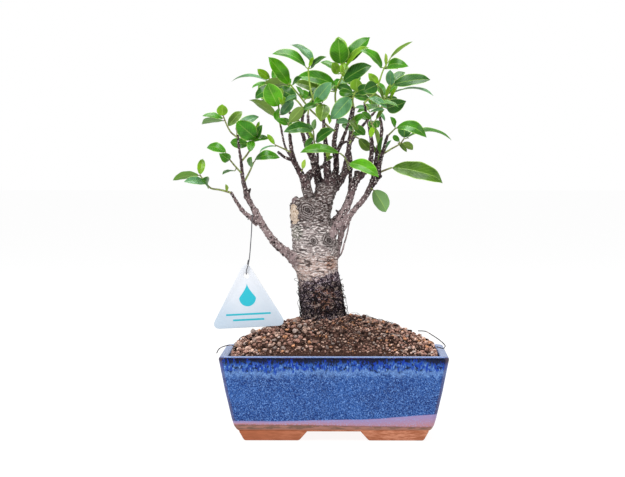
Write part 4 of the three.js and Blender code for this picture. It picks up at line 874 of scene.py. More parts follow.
class Paint:
    """A material under construction."""

    def __init__(self, name: str) -> None:
        """Start an empty material.

        Args:
            name: The material's name.
        """
        self.material = bpy.data.materials.new(name)
        self.material.use_nodes = True
        self.tree = self.material.node_tree
        self.tree.nodes.clear()

    def node(
        self,
        kind: str,
        settings: dict[str, object] | None = None,
        inputs: dict[str | int, Feed] | None = None,
        output: str | int = 0,
    ) -> Signal:
        """Add a node.

        Args:
            kind: Its type, without the ShaderNode in front.
            settings: What is set on the node first.
            inputs: The values or links of its sockets, by name or number.
            output: The socket to give back.

        Returns:
            That output.
        """
        made = self.tree.nodes.new("ShaderNode" + kind)
        for name, value in (settings or {}).items():
            setattr(made, name, value)
        for name, value in (inputs or {}).items():
            if isinstance(value, Signal):
                self.tree.links.new(value.socket, made.inputs[name])
            else:
                made.inputs[name].default_value = value
        return Signal(self, made.outputs[output])

    def math(self, operation: str, *terms: Feed) -> Signal:
        """Add a Math node."""
        return self.node("Math", {"operation": operation}, dict(enumerate(terms)))

    def blend(self, share: Feed, low: Feed, high: Feed) -> Signal:
        """Mix two colours: all low where share is 0, all high where it is 1."""
        return self.node("Mix", {"data_type": "RGBA", "clamp_factor": True}, {0: share, 6: low, 7: high}, 2)

    def place(self, origin: Vector, stretch: Place = (1.0, 1.0, 1.0)) -> Signal:
        """Give the place on the surface, in millimetres from an origin, stretched.

        Args:
            origin: Where the place counts from, in metres.
            stretch: How far each axis is stretched.

        Returns:
            The place.
        """
        shift = [-origin[axis] / MM * stretch[axis] for axis in range(3)]
        scale = [part / MM for part in stretch]
        inputs = {"Vector": self.node("TexCoord", output="Object"), "Location": shift, "Scale": scale}
        return self.node("Mapping", None, inputs)

    def split(self, place: Signal) -> tuple[Signal, Signal, Signal]:
        """Give the x, y and z of a place.

        Args:
            place: The place.

        Returns:
            Its three numbers.
        """
        made = self.node("SeparateXYZ", None, {0: place})
        sockets = made.socket.node.outputs
        return tuple(Signal(self, socket) for socket in sockets)

    def noise(self, place: Signal, scale: float, detail: float = 2.0, roughness: float = 0.5) -> Signal:
        """Give cloudy noise, 0 to 1, with scale cells to the millimetre."""
        inputs = {"Vector": place, "Scale": scale, "Detail": detail, "Roughness": roughness}
        return self.node("TexNoise", None, inputs)

    def cells(self, place: Signal, scale: float) -> Signal:
        """Give the distance to the nearest of scattered points, with scale points to the millimetre."""
        return self.node("TexVoronoi", None, {"Vector": place, "Scale": scale}, "Distance")

    def attribute(self, name: str, output: str = "Fac") -> Signal:
        """Read an attribute of the mesh."""
        return self.node("Attribute", {"attribute_name": name}, None, output)

    def bump(self, height: Signal, depth: float, strength: float = 1.0) -> Signal:
        """Turn a height of 0 to 1 into a normal, for a relief of depth millimetres."""
        return self.node("Bump", None, {"Height": height, "Distance": depth * MM, "Strength": strength})

    def finish(self, **sockets: Feed) -> Material:
        """Close the material with a Principled surface, its sockets named with _ for a space."""
        inputs = {name.replace("_", " "): value for name, value in sockets.items()}
        return self.close(self.node("BsdfPrincipled", None, inputs))

    def close(self, surface: Signal) -> Material:
        """Link a surface to the material's output.

        Args:
            surface: The surface.

        Returns:
            The material.
        """
        end = self.tree.nodes.new("ShaderNodeOutputMaterial")
        self.tree.links.new(surface.socket, end.inputs["Surface"])
        return self.material


# ---- finishes ----


@dataclass(frozen=True)
class Glaze:
    """A speckled blue glaze over terracotta, dark under the rim and lilac where it ends."""

    deep: Colour = seen(3, 28, 86)
    blue: Colour = seen(40, 84, 152)
    pale: Colour = seen(128, 166, 220)
    royal: Colour = seen(14, 50, 150)
    night: Colour = seen(3, 6, 30)
    spot: Colour = seen(8, 18, 36)
    # The next two are painted highlight: paler blues on the lip's rounded edge and on its top.
    rim: Colour = seen(82, 106, 156)
    lip: Colour = seen(126, 142, 178)
    lilac: Colour = seen(144, 124, 164)
    pink: Colour = seen(174, 120, 122)
    line: Colour = seen(104, 56, 50)
    # The next two are painted shade where the wall turns under: a brown, streaked where it is used, and a
    # darker pink that is partly the pinkish glaze there.
    turned_under_shade: Colour = seen(104, 82, 70)
    shaded_pink: Colour = seen(158, 118, 108)
    clay: Colour = seen(196, 132, 104)
    dark_clay: Colour = seen(154, 90, 62)
    red_clay: Colour = seen(166, 96, 66)
    thin: Colour = seen(92, 78, 98)

    def material(self, middle: Vector) -> Material:
        """Mix the material of the pot, whose middle is given.

        Args:
            middle: The middle of the pot.

        Returns:
            The material.
        """
        paint = Paint("glaze")
        place = paint.place(middle)
        x, _, z = paint.split(place)
        cloud = paint.noise(place, 0.035, 3.0)
        grain = paint.noise(place, 0.8, 3.0, 0.75)
        body = self._body(paint, place, cloud, grain)
        colour = self._band(paint, middle, body, grain)
        colour = paint.blend(paint.attribute("edge").ease(0.86, 1.0) * 0.5, colour, self.thin)
        wander = (cloud - 0.5) * 2
        above_end = z - 16.4 - x.ease(-60, 30) * 1.9 - x.ease(20, 96) * 4.6 + wander + (grain - 0.5) * 0.8
        above_clay = z - 12.8 + x.ease(-60, 90) * 1.6 + wander + (grain - 0.5) * 1.6
        glossy = above_clay.ease(-0.6, 0.6)
        fringe = paint.blend((above_end * -1).ease(0.6, 3.4 + x.ease(-60, 96) * 9), self.lilac, self.pink)
        fringe = paint.blend(grain.ease(0.5, 0.66) * 0.4, fringe, self.pale)
        fringe = paint.blend((1 - above_clay.ease(0.3, 0.9)) * 0.7, fringe, self.line)
        foot = paint.blend(glossy, self._clay(paint, middle, z), fringe)
        return paint.finish(
            Base_Color=paint.blend(above_end.ease(-0.4, 0.5), foot, colour),
            Roughness=0.75 - glossy * 0.52 + (grain - 0.5) * 0.1,
            Specular_IOR_Level=0.12,
            Coat_Weight=glossy * 0.06,
            Coat_Roughness=0.1,
            Normal=paint.bump(grain, 0.08, 0.35),
        )

    def _body(self, paint: Paint, place: Signal, cloud: Signal, grain: Signal) -> Signal:
        """Speckle the blue of the walls.

        Args:
            paint: The material being mixed.
            place: The place on the surface.
            cloud: Cloudy noise.
            grain: Grainy noise.

        Returns:
            The colour of the walls.
        """
        share = cloud.ease(0.3, 0.7) * 0.3 + grain.ease(0.42, 0.56) * 0.7
        body = paint.blend(share, self.deep, self.blue)
        dots = 1 - paint.cells(place, 1.35).ease(0.1, 0.38)
        body = paint.blend(dots * 0.8, body, self.pale)
        return paint.blend(grain.ease(0.56, 0.66) * 0.7, body, self.pale)

    def _band(self, paint: Paint, middle: Vector, body: Signal, grain: Signal) -> Signal:
        """Let the dark band under the rim run down over the body, and paint a pale highlight over the lip on
        top.

        Args:
            paint: The material being mixed.
            middle: The middle of the pot.
            body: The colour of the walls.
            grain: Grainy noise.

        Returns:
            The colour of all that is glazed.
        """
        place = paint.place(middle)
        _, _, z = paint.split(place)
        drip = paint.noise(paint.place(middle, (1.0, 1.0, 0.3)), 0.3, 3.0)
        streak = paint.noise(paint.place(middle, (1.0, 1.0, 0.25)), 0.75, 3.0, 0.65)
        pool = paint.noise(paint.place(middle, (1.0, 1.0, 0.5)), 0.05, 3.0, 0.6)
        edge = z + (drip - 0.5) * 15 + (pool - 0.5) * 9
        band = edge.ease(60.5, 64.5)
        halo = edge.ease(55, 61) * (1 - band)
        colour = paint.blend(halo * 0.35, body, self.pale)
        upper = paint.blend(streak.ease(0.4, 0.56), self.royal, self.blue)
        upper = paint.blend(streak.ease(0.52, 0.64) * grain.ease(0.4, 0.56) * 0.9, upper, self.pale)
        spots = paint.noise(place, 0.3, 3.0, 0.6).ease(0.52, 0.6)
        upper = paint.blend(spots * 0.9, upper, self.spot)
        colour = paint.blend(band, colour, upper)
        dark = z + (streak - 0.5) * 18 + (pool - 0.5) * 14
        colour = paint.blend(dark.ease(68.2, 71.4) * 0.96, colour, self.night)
        ragged = z + (grain - 0.5) * 0.8
        brown = paint.noise(place, 0.06, 2.0).ease(0.46, 0.56) * 0.3
        colour = paint.blend(ragged.ease(73.3, 73.7) * brown, colour, self.line)
        # Painted highlight on the lip: a paler blue over its outer rounding, then a paler one over its top.
        colour = paint.blend(ragged.ease(73.7, 74.1), colour, self.rim)
        return paint.blend(ragged.ease(74.3, 74.8), colour, self.lip)

    def _clay(self, paint: Paint, middle: Vector, z: Signal) -> Signal:
        """Streak the bare clay, and paint shade where the wall turns under: a darker pink, partly the glaze's
        own, and a streaky brown.

        Args:
            paint: The material being mixed.
            middle: The middle of the pot.
            z: The height.

        Returns:
            The colour of the clay.
        """
        streak = paint.noise(paint.place(middle, (0.25, 0.25, 1.2)), 0.35, 4.0, 0.7)
        x, _, _ = paint.split(paint.place(middle))
        light = paint.blend(x.ease(-90, 60), self.red_clay, self.clay)
        bare = paint.blend(streak.ease(0.38, 0.62), self.dark_clay, light)
        turned = (1 - abs(z - 11.2) / 3.4).ease(0.0, 0.6)
        # Painted shade where the wall turns under, over a pink that is partly the glaze's own.
        bare = paint.blend(turned * 0.75, bare, self.shaded_pink)
        return paint.blend(turned * streak.ease(0.42, 0.56) * 0.85, bare, self.turned_under_shade)


@dataclass(frozen=True)
class Bark:
    """Grey-tan wrinkled bark, nearly black and rooty at its foot, purple-brown on the limbs."""

    tan: Colour = seen(168, 146, 138)
    grey: Colour = seen(136, 124, 122)
    brown: Colour = seen(86, 73, 71)
    # Near black: the dark of the bark, and painted shade in the creases round the knots.
    dark_bark_and_crease_shade: Colour = seen(28, 20, 20)
    fleck: Colour = seen(228, 220, 217)
    moss: Colour = seen(112, 116, 102)
    limb: Colour = seen(82, 65, 66)
    limb_dark: Colour = seen(26, 19, 21)
    limb_pale: Colour = seen(138, 120, 120)
    dot: Colour = seen(222, 214, 210)
    mat: Colour = seen(38, 27, 38)
    fibre: Colour = seen(186, 170, 176)
    rust: Colour = seen(150, 106, 82)
    wound: Colour = seen(206, 190, 174)
    raw: Colour = seen(150, 126, 104)
    rings: tuple = (((-23.9, 203.0), 8.5), ((-4.7, 175.5), 8.0), ((-18.5, 175.0), 5.0))
    ring_gap: float = 1.9

    def material(self, middle: Vector) -> Material:
        """Mix the bark of the tree that stands in a pot whose middle is given.

        Args:
            middle: The middle of the pot.

        Returns:
            The material.
        """
        paint = Paint("bark")
        place = paint.place(middle)
        thick = paint.attribute("girth").ease(4.5, 10.0)
        mottle = paint.noise(place, 0.3, 4.0, 0.65)
        fine = paint.noise(place, 0.8, 3.0, 0.65)
        crease = paint.attribute("crease")
        limb = self._limb(paint, place, mottle, fine)
        colour = paint.blend(thick, limb, self._trunk(paint, middle, mottle, fine, crease))
        wound = paint.attribute("wound")
        colour = paint.blend((1 - abs(wound * 2 - 1)).ease(0.2, 0.9) * 0.9, colour, self.dark_bark_and_crease_shade)
        cut = paint.blend(fine.ease(0.4, 0.54), self.raw, self.wound)
        colour = paint.blend(wound.ease(0.4, 0.8), colour, cut)
        colour = self._foot(paint, place, colour, mottle, fine)
        return paint.finish(
            Base_Color=colour,
            Roughness=0.75 + (fine - 0.5) * 0.3,
            Specular_IOR_Level=0.1,
            Normal=paint.bump(mottle * 0.4 + fine * 0.4 + crease * 0.2, 0.7, 0.9),
        )

    @staticmethod
    def _patch(x: Signal, z: Signal, middle: tuple[float, float], radii: tuple[float, float]) -> Signal:
        """Give a soft oval patch on the front, 1 in its middle."""
        across, up = (x - middle[0]) / radii[0], (z - middle[1]) / radii[1]
        return 1 - (across * across + up * up).ease(0.3, 1.2)

    def _trunk(self, paint: Paint, middle: Vector, mottle: Signal, fine: Signal, crease: Signal) -> Signal:
        """Crack the trunk's bark across: brown at the top, white and flaky in the middle, tan below.

        Args:
            paint: The material being mixed.
            middle: The middle of the pot.
            mottle: Coarse noise.
            fine: Fine noise.
            crease: How far a place lies out of the creases.

        Returns:
            The colour of the trunk.
        """
        flat = paint.place(middle, (0.3, 0.3, 1.0))
        x, _, z = paint.split(paint.place(middle))
        high = (z + (mottle - 0.5) * 24).ease(182, 196)
        low = 1 - (z + (mottle - 0.5) * 20).ease(152, 168)
        colour = paint.blend(high, paint.blend(low, self.grey, self.tan), self.brown)
        colour = paint.blend(mottle.ease(0.52, 0.64) * (0.25 + high * 0.35), colour, self.dark_bark_and_crease_shade)
        colour = paint.blend(self._patch(x, z, (-34, 182), (6, 8)) * 0.7, colour, self.moss)
        colour = paint.blend(self._patch(x, z, (-3.5, 155), (6, 7)) * 0.6, colour, self.rust)
        flake = paint.noise(flat, 1.0, 3.0, 0.6).ease(0.48, 0.58) * fine.ease(0.36, 0.5)
        colour = paint.blend(flake * (1 - high * 0.45 - low * 0.3), colour, self.fleck)
        waves = z / 4 + paint.noise(flat, 0.14, 3.0) * 7
        line = abs(paint.math("FRACT", waves) - 0.5) * 2
        broken = paint.noise(paint.place(middle, (0.5, 0.5, 1.0)), 0.3, 2.0).ease(0.4, 0.5)
        colour = paint.blend(line.ease(0.5, 0.88) * broken * 0.85, colour, self.dark_bark_and_crease_shade)
        for spot, reach in self.rings:
            colour = self._ringed(paint, (x, z, mottle), colour, spot, reach)
        # Painted shade in the creases round the knots.
        return paint.blend((1 - crease.ease(0.25, 0.6)) * 0.4, colour, self.dark_bark_and_crease_shade)

    def _ringed(
        self,
        paint: Paint,
        at: tuple[Signal, Signal, Signal],
        bark: Signal,
        spot: tuple[float, float],
        reach: float,
    ) -> Signal:
        """Draw the rings of bark round a knot.

        Args:
            paint: The material being mixed.
            at: The place across and up, and coarse noise.
            bark: The colour round the knot.
            spot: The middle of the knot.
            reach: The radius of its rings.

        Returns:
            The colour with the rings.
        """
        x, z, mottle = at
        across, up = (x - spot[0]) * 0.95, z - spot[1] + (x - spot[0]) * 0.25
        far = paint.math("SQRT", across * across + up * up) + (mottle - 0.5) * 5
        near = 1 - far.ease(reach * 0.7, reach)
        ring = abs(paint.math("FRACT", far / self.ring_gap) - 0.5) * 2
        bark = paint.blend(near * 0.6, bark, self.brown)
        bark = paint.blend(near * (1 - ring.ease(0.1, 0.5)) * 0.35, bark, self.fleck)
        bark = paint.blend((1 - far.ease(reach * 0.1, reach * 0.45)) * 0.7, bark, self.dark_bark_and_crease_shade)
        return paint.blend(near * ring.ease(0.5, 0.9) * 0.75, bark, self.dark_bark_and_crease_shade)

    def _limb(self, paint: Paint, place: Signal, mottle: Signal, fine: Signal) -> Signal:
        """Dot the limbs' smoother bark with pale pores; the lower limbs are paler.

        Args:
            paint: The material being mixed.
            place: The place on the surface.
            mottle: Coarse noise.
            fine: Fine noise.

        Returns:
            The colour of the limbs.
        """
        _, _, z = paint.split(place)
        limb = paint.blend(mottle.ease(0.4, 0.6), self.limb_dark, self.limb)
        limb = paint.blend((1 - z.ease(192, 232)) * mottle.ease(0.36, 0.52), limb, self.limb_pale)
        limb = paint.blend(fine.ease(0.56, 0.68) * 0.5, limb, self.grey)
        pore = 1 - paint.cells(place, 0.5).ease(0.14, 0.34)
        return paint.blend(pore * fine.ease(0.38, 0.5) * 0.95, limb, self.dot)

    def _foot(self, paint: Paint, place: Signal, above: Signal, mottle: Signal, fine: Signal) -> Signal:
        """Blacken the foot below a slanting, ragged line, with rusty patches and pale fibres.

        Args:
            paint: The material being mixed.
            place: The place on the surface.
            above: The colour above the line.
            mottle: Coarse noise.
            fine: Fine noise.

        Returns:
            The colour with the foot.
        """
        x, _, z = paint.split(place)
        edge = z - (x + 15) * 0.38 + (mottle - 0.5) * 18 + (fine - 0.5) * 5
        foot = (1 - edge.ease(140, 144)) * paint.attribute("girth").ease(9, 13)
        mat = paint.blend(fine.ease(0.51, 0.61) * 0.85, self.mat, self.fibre)
        rusty = self._patch(x, z, (-9, 121), (12, 14)) * mottle.ease(0.4, 0.54)
        rusty = rusty + mottle.ease(0.54, 0.64) * 0.3
        mat = paint.blend(rusty * fine.ease(0.42, 0.54) * 0.85, mat, self.rust)
        return paint.blend(foot, above, mat)


@dataclass(frozen=True)
class RootHair:
    """The fibrous skin of fine roots."""

    dark: Colour = seen(20, 14, 17)
    brown: Colour = seen(156, 138, 130)

    def material(self, middle: Vector) -> Material:
        """Mix the material of root hairs.

        Args:
            middle: The middle of the pot.

        Returns:
            The material.
        """
        paint = Paint("root_hair")
        along = paint.noise(paint.place(middle), 0.22, 3.0)
        colour = paint.blend(along.ease(0.54, 0.66), self.dark, self.brown)
        return paint.finish(Base_Color=colour, Roughness=0.65 + (along - 0.5) * 0.4, Specular_IOR_Level=0.15)


@dataclass(frozen=True)
class Foliage:
    """Leathery leaves, glossy above and pale beneath, on greenish stems."""

    pale: Colour = seen(120, 146, 72)
    shade: Colour = seen(8, 46, 2)
    rib: Colour = seen(160, 194, 92)
    # Pale green for the blade's rim and veins: partly the leaf's own margin, partly painted highlight on its
    # edge.
    margin_and_edge_highlight: Colour = seen(172, 206, 100)
    twig: Colour = seen(104, 96, 66)
    twig_green: Colour = seen(138, 154, 88)
    green_wood: Colour = seen(134, 168, 48)

    def material(self) -> Material:
        """Mix the material that every shoot shares.

        Returns:
            The material.
        """
        paint = Paint("leaf")
        across, along, _ = paint.split(paint.node("TexCoord", output="UV"))
        place = paint.place(Vector((0.0, 0.0, 0.0)))
        under = paint.attribute("under")
        stem = paint.attribute("stem")
        tint = paint.attribute("tint", "Color")
        off = abs(across * 2 - 1)
        cloud = paint.noise(place, 0.09, 2.0)
        vein = abs(paint.math("FRACT", (along - off * 0.3) * 9) - 0.5) * 2
        rib = 1 - off.ease(0.02, 0.07)
        blade = paint.blend(0.06 + cloud.ease(0.35, 0.7) * 0.5, tint, self.shade)
        blade = paint.blend(vein.ease(0.75, 1.0) * 0.12, blade, self.margin_and_edge_highlight)
        blade = paint.blend(rib * 0.36, blade, self.rib)
        # The pale edge of the blade: the leaf's own margin and a painted highlight.
        blade = paint.blend(off.ease(0.86, 1.0) * 0.75, blade, self.margin_and_edge_highlight)
        back = paint.blend(rib * 0.5, paint.blend(0.5, tint, self.pale), self.rib)
        bark = paint.blend(paint.noise(place, 0.5, 3.0).ease(0.4, 0.6), self.twig, self.twig_green)
        _, _, height = paint.split(place)
        bark = paint.blend(height.ease(285, 325) * 0.8, bark, self.green_wood)
        return paint.finish(
            Base_Color=paint.blend(stem, paint.blend(under, blade, back), bark),
            Roughness=0.32 + under * 0.24 + stem * 0.24,
            Specular_IOR_Level=0.26,
            Coat_Weight=0.04 * (1 - under),
            Coat_Roughness=0.2,
            Normal=paint.bump(vein.ease(0.5, 1.0) * 0.5 + paint.noise(place, 0.7, 2.0) * 0.3, 0.1, 0.4),
        )


@dataclass(frozen=True)
class Earth:
    """Fired-clay soil grains, each with its own tint."""

    # Pale specks on the grains.
    pale_speck: Colour = seen(196, 168, 148)
    # Painted shadow: the dark of the deep gaps between grains.
    gap_shadow: Colour = seen(24, 12, 8)

    def material(self, middle: Vector) -> Material:
        """Mix the soil of a pot whose middle is given.

        Args:
            middle: The middle of the pot.

        Returns:
            The material.
        """
        paint = Paint("soil")
        place = paint.place(middle)
        tint = paint.attribute("tint", "Color")
        speck = paint.noise(place, 0.8, 4.0, 0.7)
        # Dark patches on the grains, painted shadow for the shade between them.
        colour = paint.blend(speck.ease(0.38, 0.56), paint.blend(0.6, tint, self.gap_shadow), tint)
        colour = paint.blend(speck.ease(0.6, 0.7) * 0.6, colour, self.pale_speck)
        return paint.finish(
            Base_Color=colour,
            Roughness=0.9 - speck * 0.1,
            Specular_IOR_Level=0.08,
            Normal=paint.bump(speck, 0.5, 0.9),
        )


@dataclass(frozen=True)
class Plastic:
    """A smooth, slightly cloudy plastic that turns from one tone to another between two heights."""

    name: str
    tint: Colour
    shade: Colour
    gloss: float = 0.3
    heights: tuple[float, float] = (90.0, 150.0)

    def material(self, middle: Vector) -> Material:
        """Mix the material of a piece that hangs by a pot whose middle is given.

        Args:
            middle: The middle of the pot.

        Returns:
            The material.
        """
        paint = Paint(self.name)
        place = paint.place(middle)
        _, _, z = paint.split(place)
        cloud = (paint.noise(place, 0.05, 3.0) - 0.5) * 30
        return paint.finish(
            Base_Color=paint.blend((z + cloud).ease(*self.heights), self.tint, self.shade),
            Roughness=self.gloss + (paint.noise(place, 0.6, 3.0) - 0.5) * 0.12,
            Normal=paint.bump(paint.noise(place, 1.5, 2.0), 0.02, 0.3),
        )


@dataclass(frozen=True)
class Steel:
    """Drawn steel wire, a little dull."""

    bright: Colour = seen(120, 120, 124)
    dull: Colour = seen(62, 62, 66)

    def material(self) -> Material:
        """Mix the material.

        Returns:
            The material.
        """
        paint = Paint("steel")
        drawn = paint.noise(paint.place(Vector((0.0, 0.0, 0.0)), (4.0, 4.0, 0.3)), 0.8, 3.0)
        colour = paint.blend(drawn.ease(0.35, 0.65), self.dull, self.bright)
        return paint.finish(Base_Color=colour, Metallic=1.0, Roughness=0.3 + drawn * 0.2)


# ---- wire and tag ----


@dataclass
class HangingTag:
    """A plastic tag, plain but for a water drop over two rules, on a steel wire."""

    middle: Vector
    hole: Place = (-78.7, -33.5, 144.4)
    half_width: float = 34.6
    height: float = 61.2
    corner: float = 8.7
    thick: float = 1.2
    below: float = 46.5
    hole_radius: float = 2.5
    turn: float = 3.0
    ink: float = 0.06
    drop: float = 7.5
    drop_peak: float = 5.5
    drop_down: float = 20.0
    rules: tuple = ((40, -34.5), (28, -39.5))
    rule_height: float = 1.6

    def build(self) -> None:
        """Make the wire, the tag and its print."""
        plastic = Plastic("tag_plastic", seen(173, 188, 202), seen(205, 208, 214), 0.32).material(self.middle)
        print_ink = Plastic("tag_ink", seen(8, 160, 178), seen(24, 172, 188), 0.4).material(self.middle)
        tag = hand_in(self._hang(self._sheet()), Slot.TAG, plastic, "tag")
        drawing = hand_in(self._hang(self._print()), Slot.TAG, print_ink)
        self._wire()

    def _wire(self) -> None:
        """Make the wire along its route, which carries the tag.
        """
        rows = smooth_rows(WIRE_ROUTE, 1.2) * MM + np.array(self.middle)
        strand = np.column_stack([rows, np.ones(len(rows))])
        wire = line_curve("tag_wire_line", [strand], WIRE_RADIUS * MM, 3)
        hand_in(wire, Slot.STEEL, Steel().material(), "tag_wire")

    def _sheet(self) -> Object:
        """Make the rounded triangle with its hole, lying flat with the hole at the origin.

        Returns:
            The sheet.
        """
        side, rise = self.half_width / math.sin(math.radians(60)), self.height / 1.5
        bpy.ops.mesh.primitive_circle_add(vertices=3, radius=1, fill_type="NGON")
        sheet = bpy.context.object
        sheet.scale = (side * MM, rise * MM, 1)
        sheet.location = (0, (rise / 2 - self.below) * MM, -self.thick / 2 * MM)
        settle(sheet, "tag_sheet")
        with edit_mode(sheet):
            bpy.ops.mesh.bevel(offset=self.corner * MM, affect="VERTICES", segments=10)
            raise_faces(self.thick)
            face_outwards()
        bpy.ops.mesh.primitive_cylinder_add(vertices=32, radius=self.hole_radius * MM, depth=0.01)
        carve(sheet, bpy.context.object, "DIFFERENCE")
        round_edges(sheet, 0.25, 3)
        smooth(sheet)
        return sheet

    def _print(self) -> Object:
        """Make the print, a thin film of ink on the front of the sheet.

        Returns:
            The print.
        """
        bpy.ops.mesh.primitive_circle_add(vertices=48, radius=self.drop * MM, fill_type="NGON")
        drop = settle(bpy.context.object, "tag_print")
        places = corner_places(drop)
        lift = np.clip(places[:, 1] / (self.drop * MM), 0, 1)
        places[:, 0] *= 1 - lift**1.3
        places[:, 1] += self.drop_peak * MM * lift**2 - self.drop_down * MM
        place_corners(drop, places)
        marks = [drop]
        for width, down in self.rules:
            bpy.ops.mesh.primitive_plane_add(size=1, location=(0, down * MM, 0))
            rule = bpy.context.object
            rule.scale = (width * MM, self.rule_height * MM, 1)
            marks.append(settle(rule))
        take(*marks)
        bpy.ops.object.join()
        with edit_mode(drop):
            raise_faces(self.ink)
            face_outwards()
        drop.location.z = (self.thick / 2 + 0.01) * MM
        settle(drop)
        return drop

    def _hang(self, piece: Object) -> Object:
        """Turn a flat piece upright and hang it by its origin from the wire.

        Args:
            piece: The piece.

        Returns:
            The piece.
        """
        piece.rotation_euler = (math.pi / 2, 0, 0)
        settle(piece)
        piece.rotation_euler = (0, -math.radians(self.turn), 0)
        piece.location = self.middle + Vector(self.hole) * MM
        return settle(piece)


# ---- pot ----


@dataclass
class Pot:
    """The pot: a tapered rectangle with a rolled lip, on four corner feet, with two drain holes."""

    middle: Vector
    half_width: float = 102.4
    half_depth: float = 75.0
    corner: float = 8.0
    outside: tuple = ((18.5, 6.8), (15.8, 8.8), (13.4, 12.5), (11.5, 19), (5.9, 44), (1.2, 69))
    lip: tuple = ((0.5, 72.4), (1.3, 74.2), (3.2, 75), (6.6, 75), (8.6, 74.2), (9.7, 72.2))
    inside: tuple = ((10.2, 69), (19, 23), (21.5, 17), (26, 14))
    foot_top: tuple = ((23, 84.8), (18, 58.5))
    foot_bottom: tuple = ((31, 80), (26, 53))
    foot_reaches: float = 7.8
    drain_radius: float = 7.0
    drain_x: float = 40.0

    def build(self) -> None:
        """Make the pot, and dress the netting in it."""
        pot = self._shell()
        for side_x in (-1, 1):
            for side_y in (-1, 1):
                carve(pot, self._foot(side_x, side_y), "UNION")
        for side_x in (-1, 1):
            spot = self._at(side_x * self.drain_x, 0, 10)
            radius = self.drain_radius * MM
            bpy.ops.mesh.primitive_cylinder_add(vertices=40, radius=radius, depth=0.03, location=spot)
            carve(pot, bpy.context.object, "DIFFERENCE")
        round_edges(pot, 0.5, 2, 40)
        smooth(pot, 35)
        self._mark_edges(pot)
        hand_in(pot, Slot.GLAZE, Glaze().material(self.middle), "pot")
        netting = Plastic("netting", seen(26, 28, 30), seen(38, 40, 42), 0.5).material(self.middle)
        for name in ("drain_mesh_left", "drain_mesh_right"):
            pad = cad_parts[name]
            pad.data.materials.clear()
            pad.data.materials.append(netting)

    def _at(self, x: float, y: float, z: float) -> Vector:
        """Give a place in the pot's own millimetres."""
        return self.middle + Vector((x, y, z)) * MM

    def _shell(self) -> Object:
        """Draw the pot's body up from its floor, over the lip and down inside.

        Returns:
            The shell.
        """
        rows = [*self.outside, *self.lip, *self.inside]
        inset, height = rows[0]
        bpy.ops.mesh.primitive_plane_add(size=2, location=self._at(0, 0, height))
        shell = bpy.context.object
        shell.scale = ((self.half_width - inset) * MM, (self.half_depth - inset) * MM, 1)
        settle(shell, "pot_body")
        with edit_mode(shell):
            bpy.ops.mesh.bevel(offset=(self.corner - 0.2 * inset) * MM, affect="VERTICES", segments=8)
            for (inset, height), (next_inset, next_height) in pairwise(rows):
                raise_faces(next_height - height)
                wider = (self.half_width - next_inset) / (self.half_width - inset)
                deeper = (self.half_depth - next_inset) / (self.half_depth - inset)
                centre = self._at(0, 0, next_height)
                bpy.ops.transform.resize(value=(wider, deeper, 1), center_override=centre)
            face_outwards()
        round_edges(shell, 0.9, 3, 12)
        return shell

    def _foot(self, side_x: int, side_y: int) -> Object:
        """Make the foot of one corner.

        Args:
            side_x: Its side, -1 for left and 1 for right.
            side_y: Its side, -1 for front and 1 for back.

        Returns:
            The foot.
        """
        (left, right), (near, far) = self.foot_top
        height = self.foot_reaches - FEET_STAND_AT
        level = FEET_STAND_AT + height / 2
        middle = self._at(side_x * (left + right) / 2, side_y * (near + far) / 2, level)
        bpy.ops.mesh.primitive_cube_add(size=1, location=middle)
        foot = bpy.context.object
        foot.scale = ((right - left) * MM, (far - near) * MM, height * MM)
        settle(foot)
        (low_left, low_right), (low_near, low_far) = self.foot_bottom
        shrink = ((low_right - low_left) / (right - left), (low_far - low_near) / (far - near), 1)
        shift_x = side_x * (low_left + low_right - left - right) / 2
        shift_y = side_y * (low_near + low_far - near - far) / 2
        with edit_mode(foot):
            select_corners(foot, lambda place: place.z < middle.z)
            bpy.ops.transform.resize(value=shrink, center_override=middle)
            bpy.ops.transform.translate(value=(shift_x * MM, shift_y * MM, 0))
        round_edges(foot, 1.6, 4)
        return foot

    def _mark_edges(self, pot: Object) -> None:
        """Mark how far each corner of the mesh lies round a corner of the pot, 1 in its middle.

        Args:
            pot: The finished pot.
        """
        places = (corner_places(pot) - np.array(self.middle)) / MM
        heights, insets = zip(*[(z, inset) for inset, z in self.outside])
        inset = np.interp(places[:, 2], heights, insets)
        past_x = np.abs(places[:, 0]) - (self.half_width - inset - self.corner)
        past_y = np.abs(places[:, 1]) - (self.half_depth - inset - self.corner)
        turned = np.sin(2 * np.arctan2(np.maximum(past_y, 0), np.maximum(past_x, 1e-6)))
        mark(pot, "edge", "POINT", turned)


# ---- soil ----


class Crumb(Enum):
    """The colours of soil grains, as they are seen, with their shares."""

    BROWN = ((170, 130, 116), 0.44)
    TAN = ((222, 186, 168), 0.26)
    ORANGE = ((204, 148, 112), 0.06)
    GREY = ((180, 162, 154), 0.11)
    BLACK = ((50, 34, 30), 0.13)


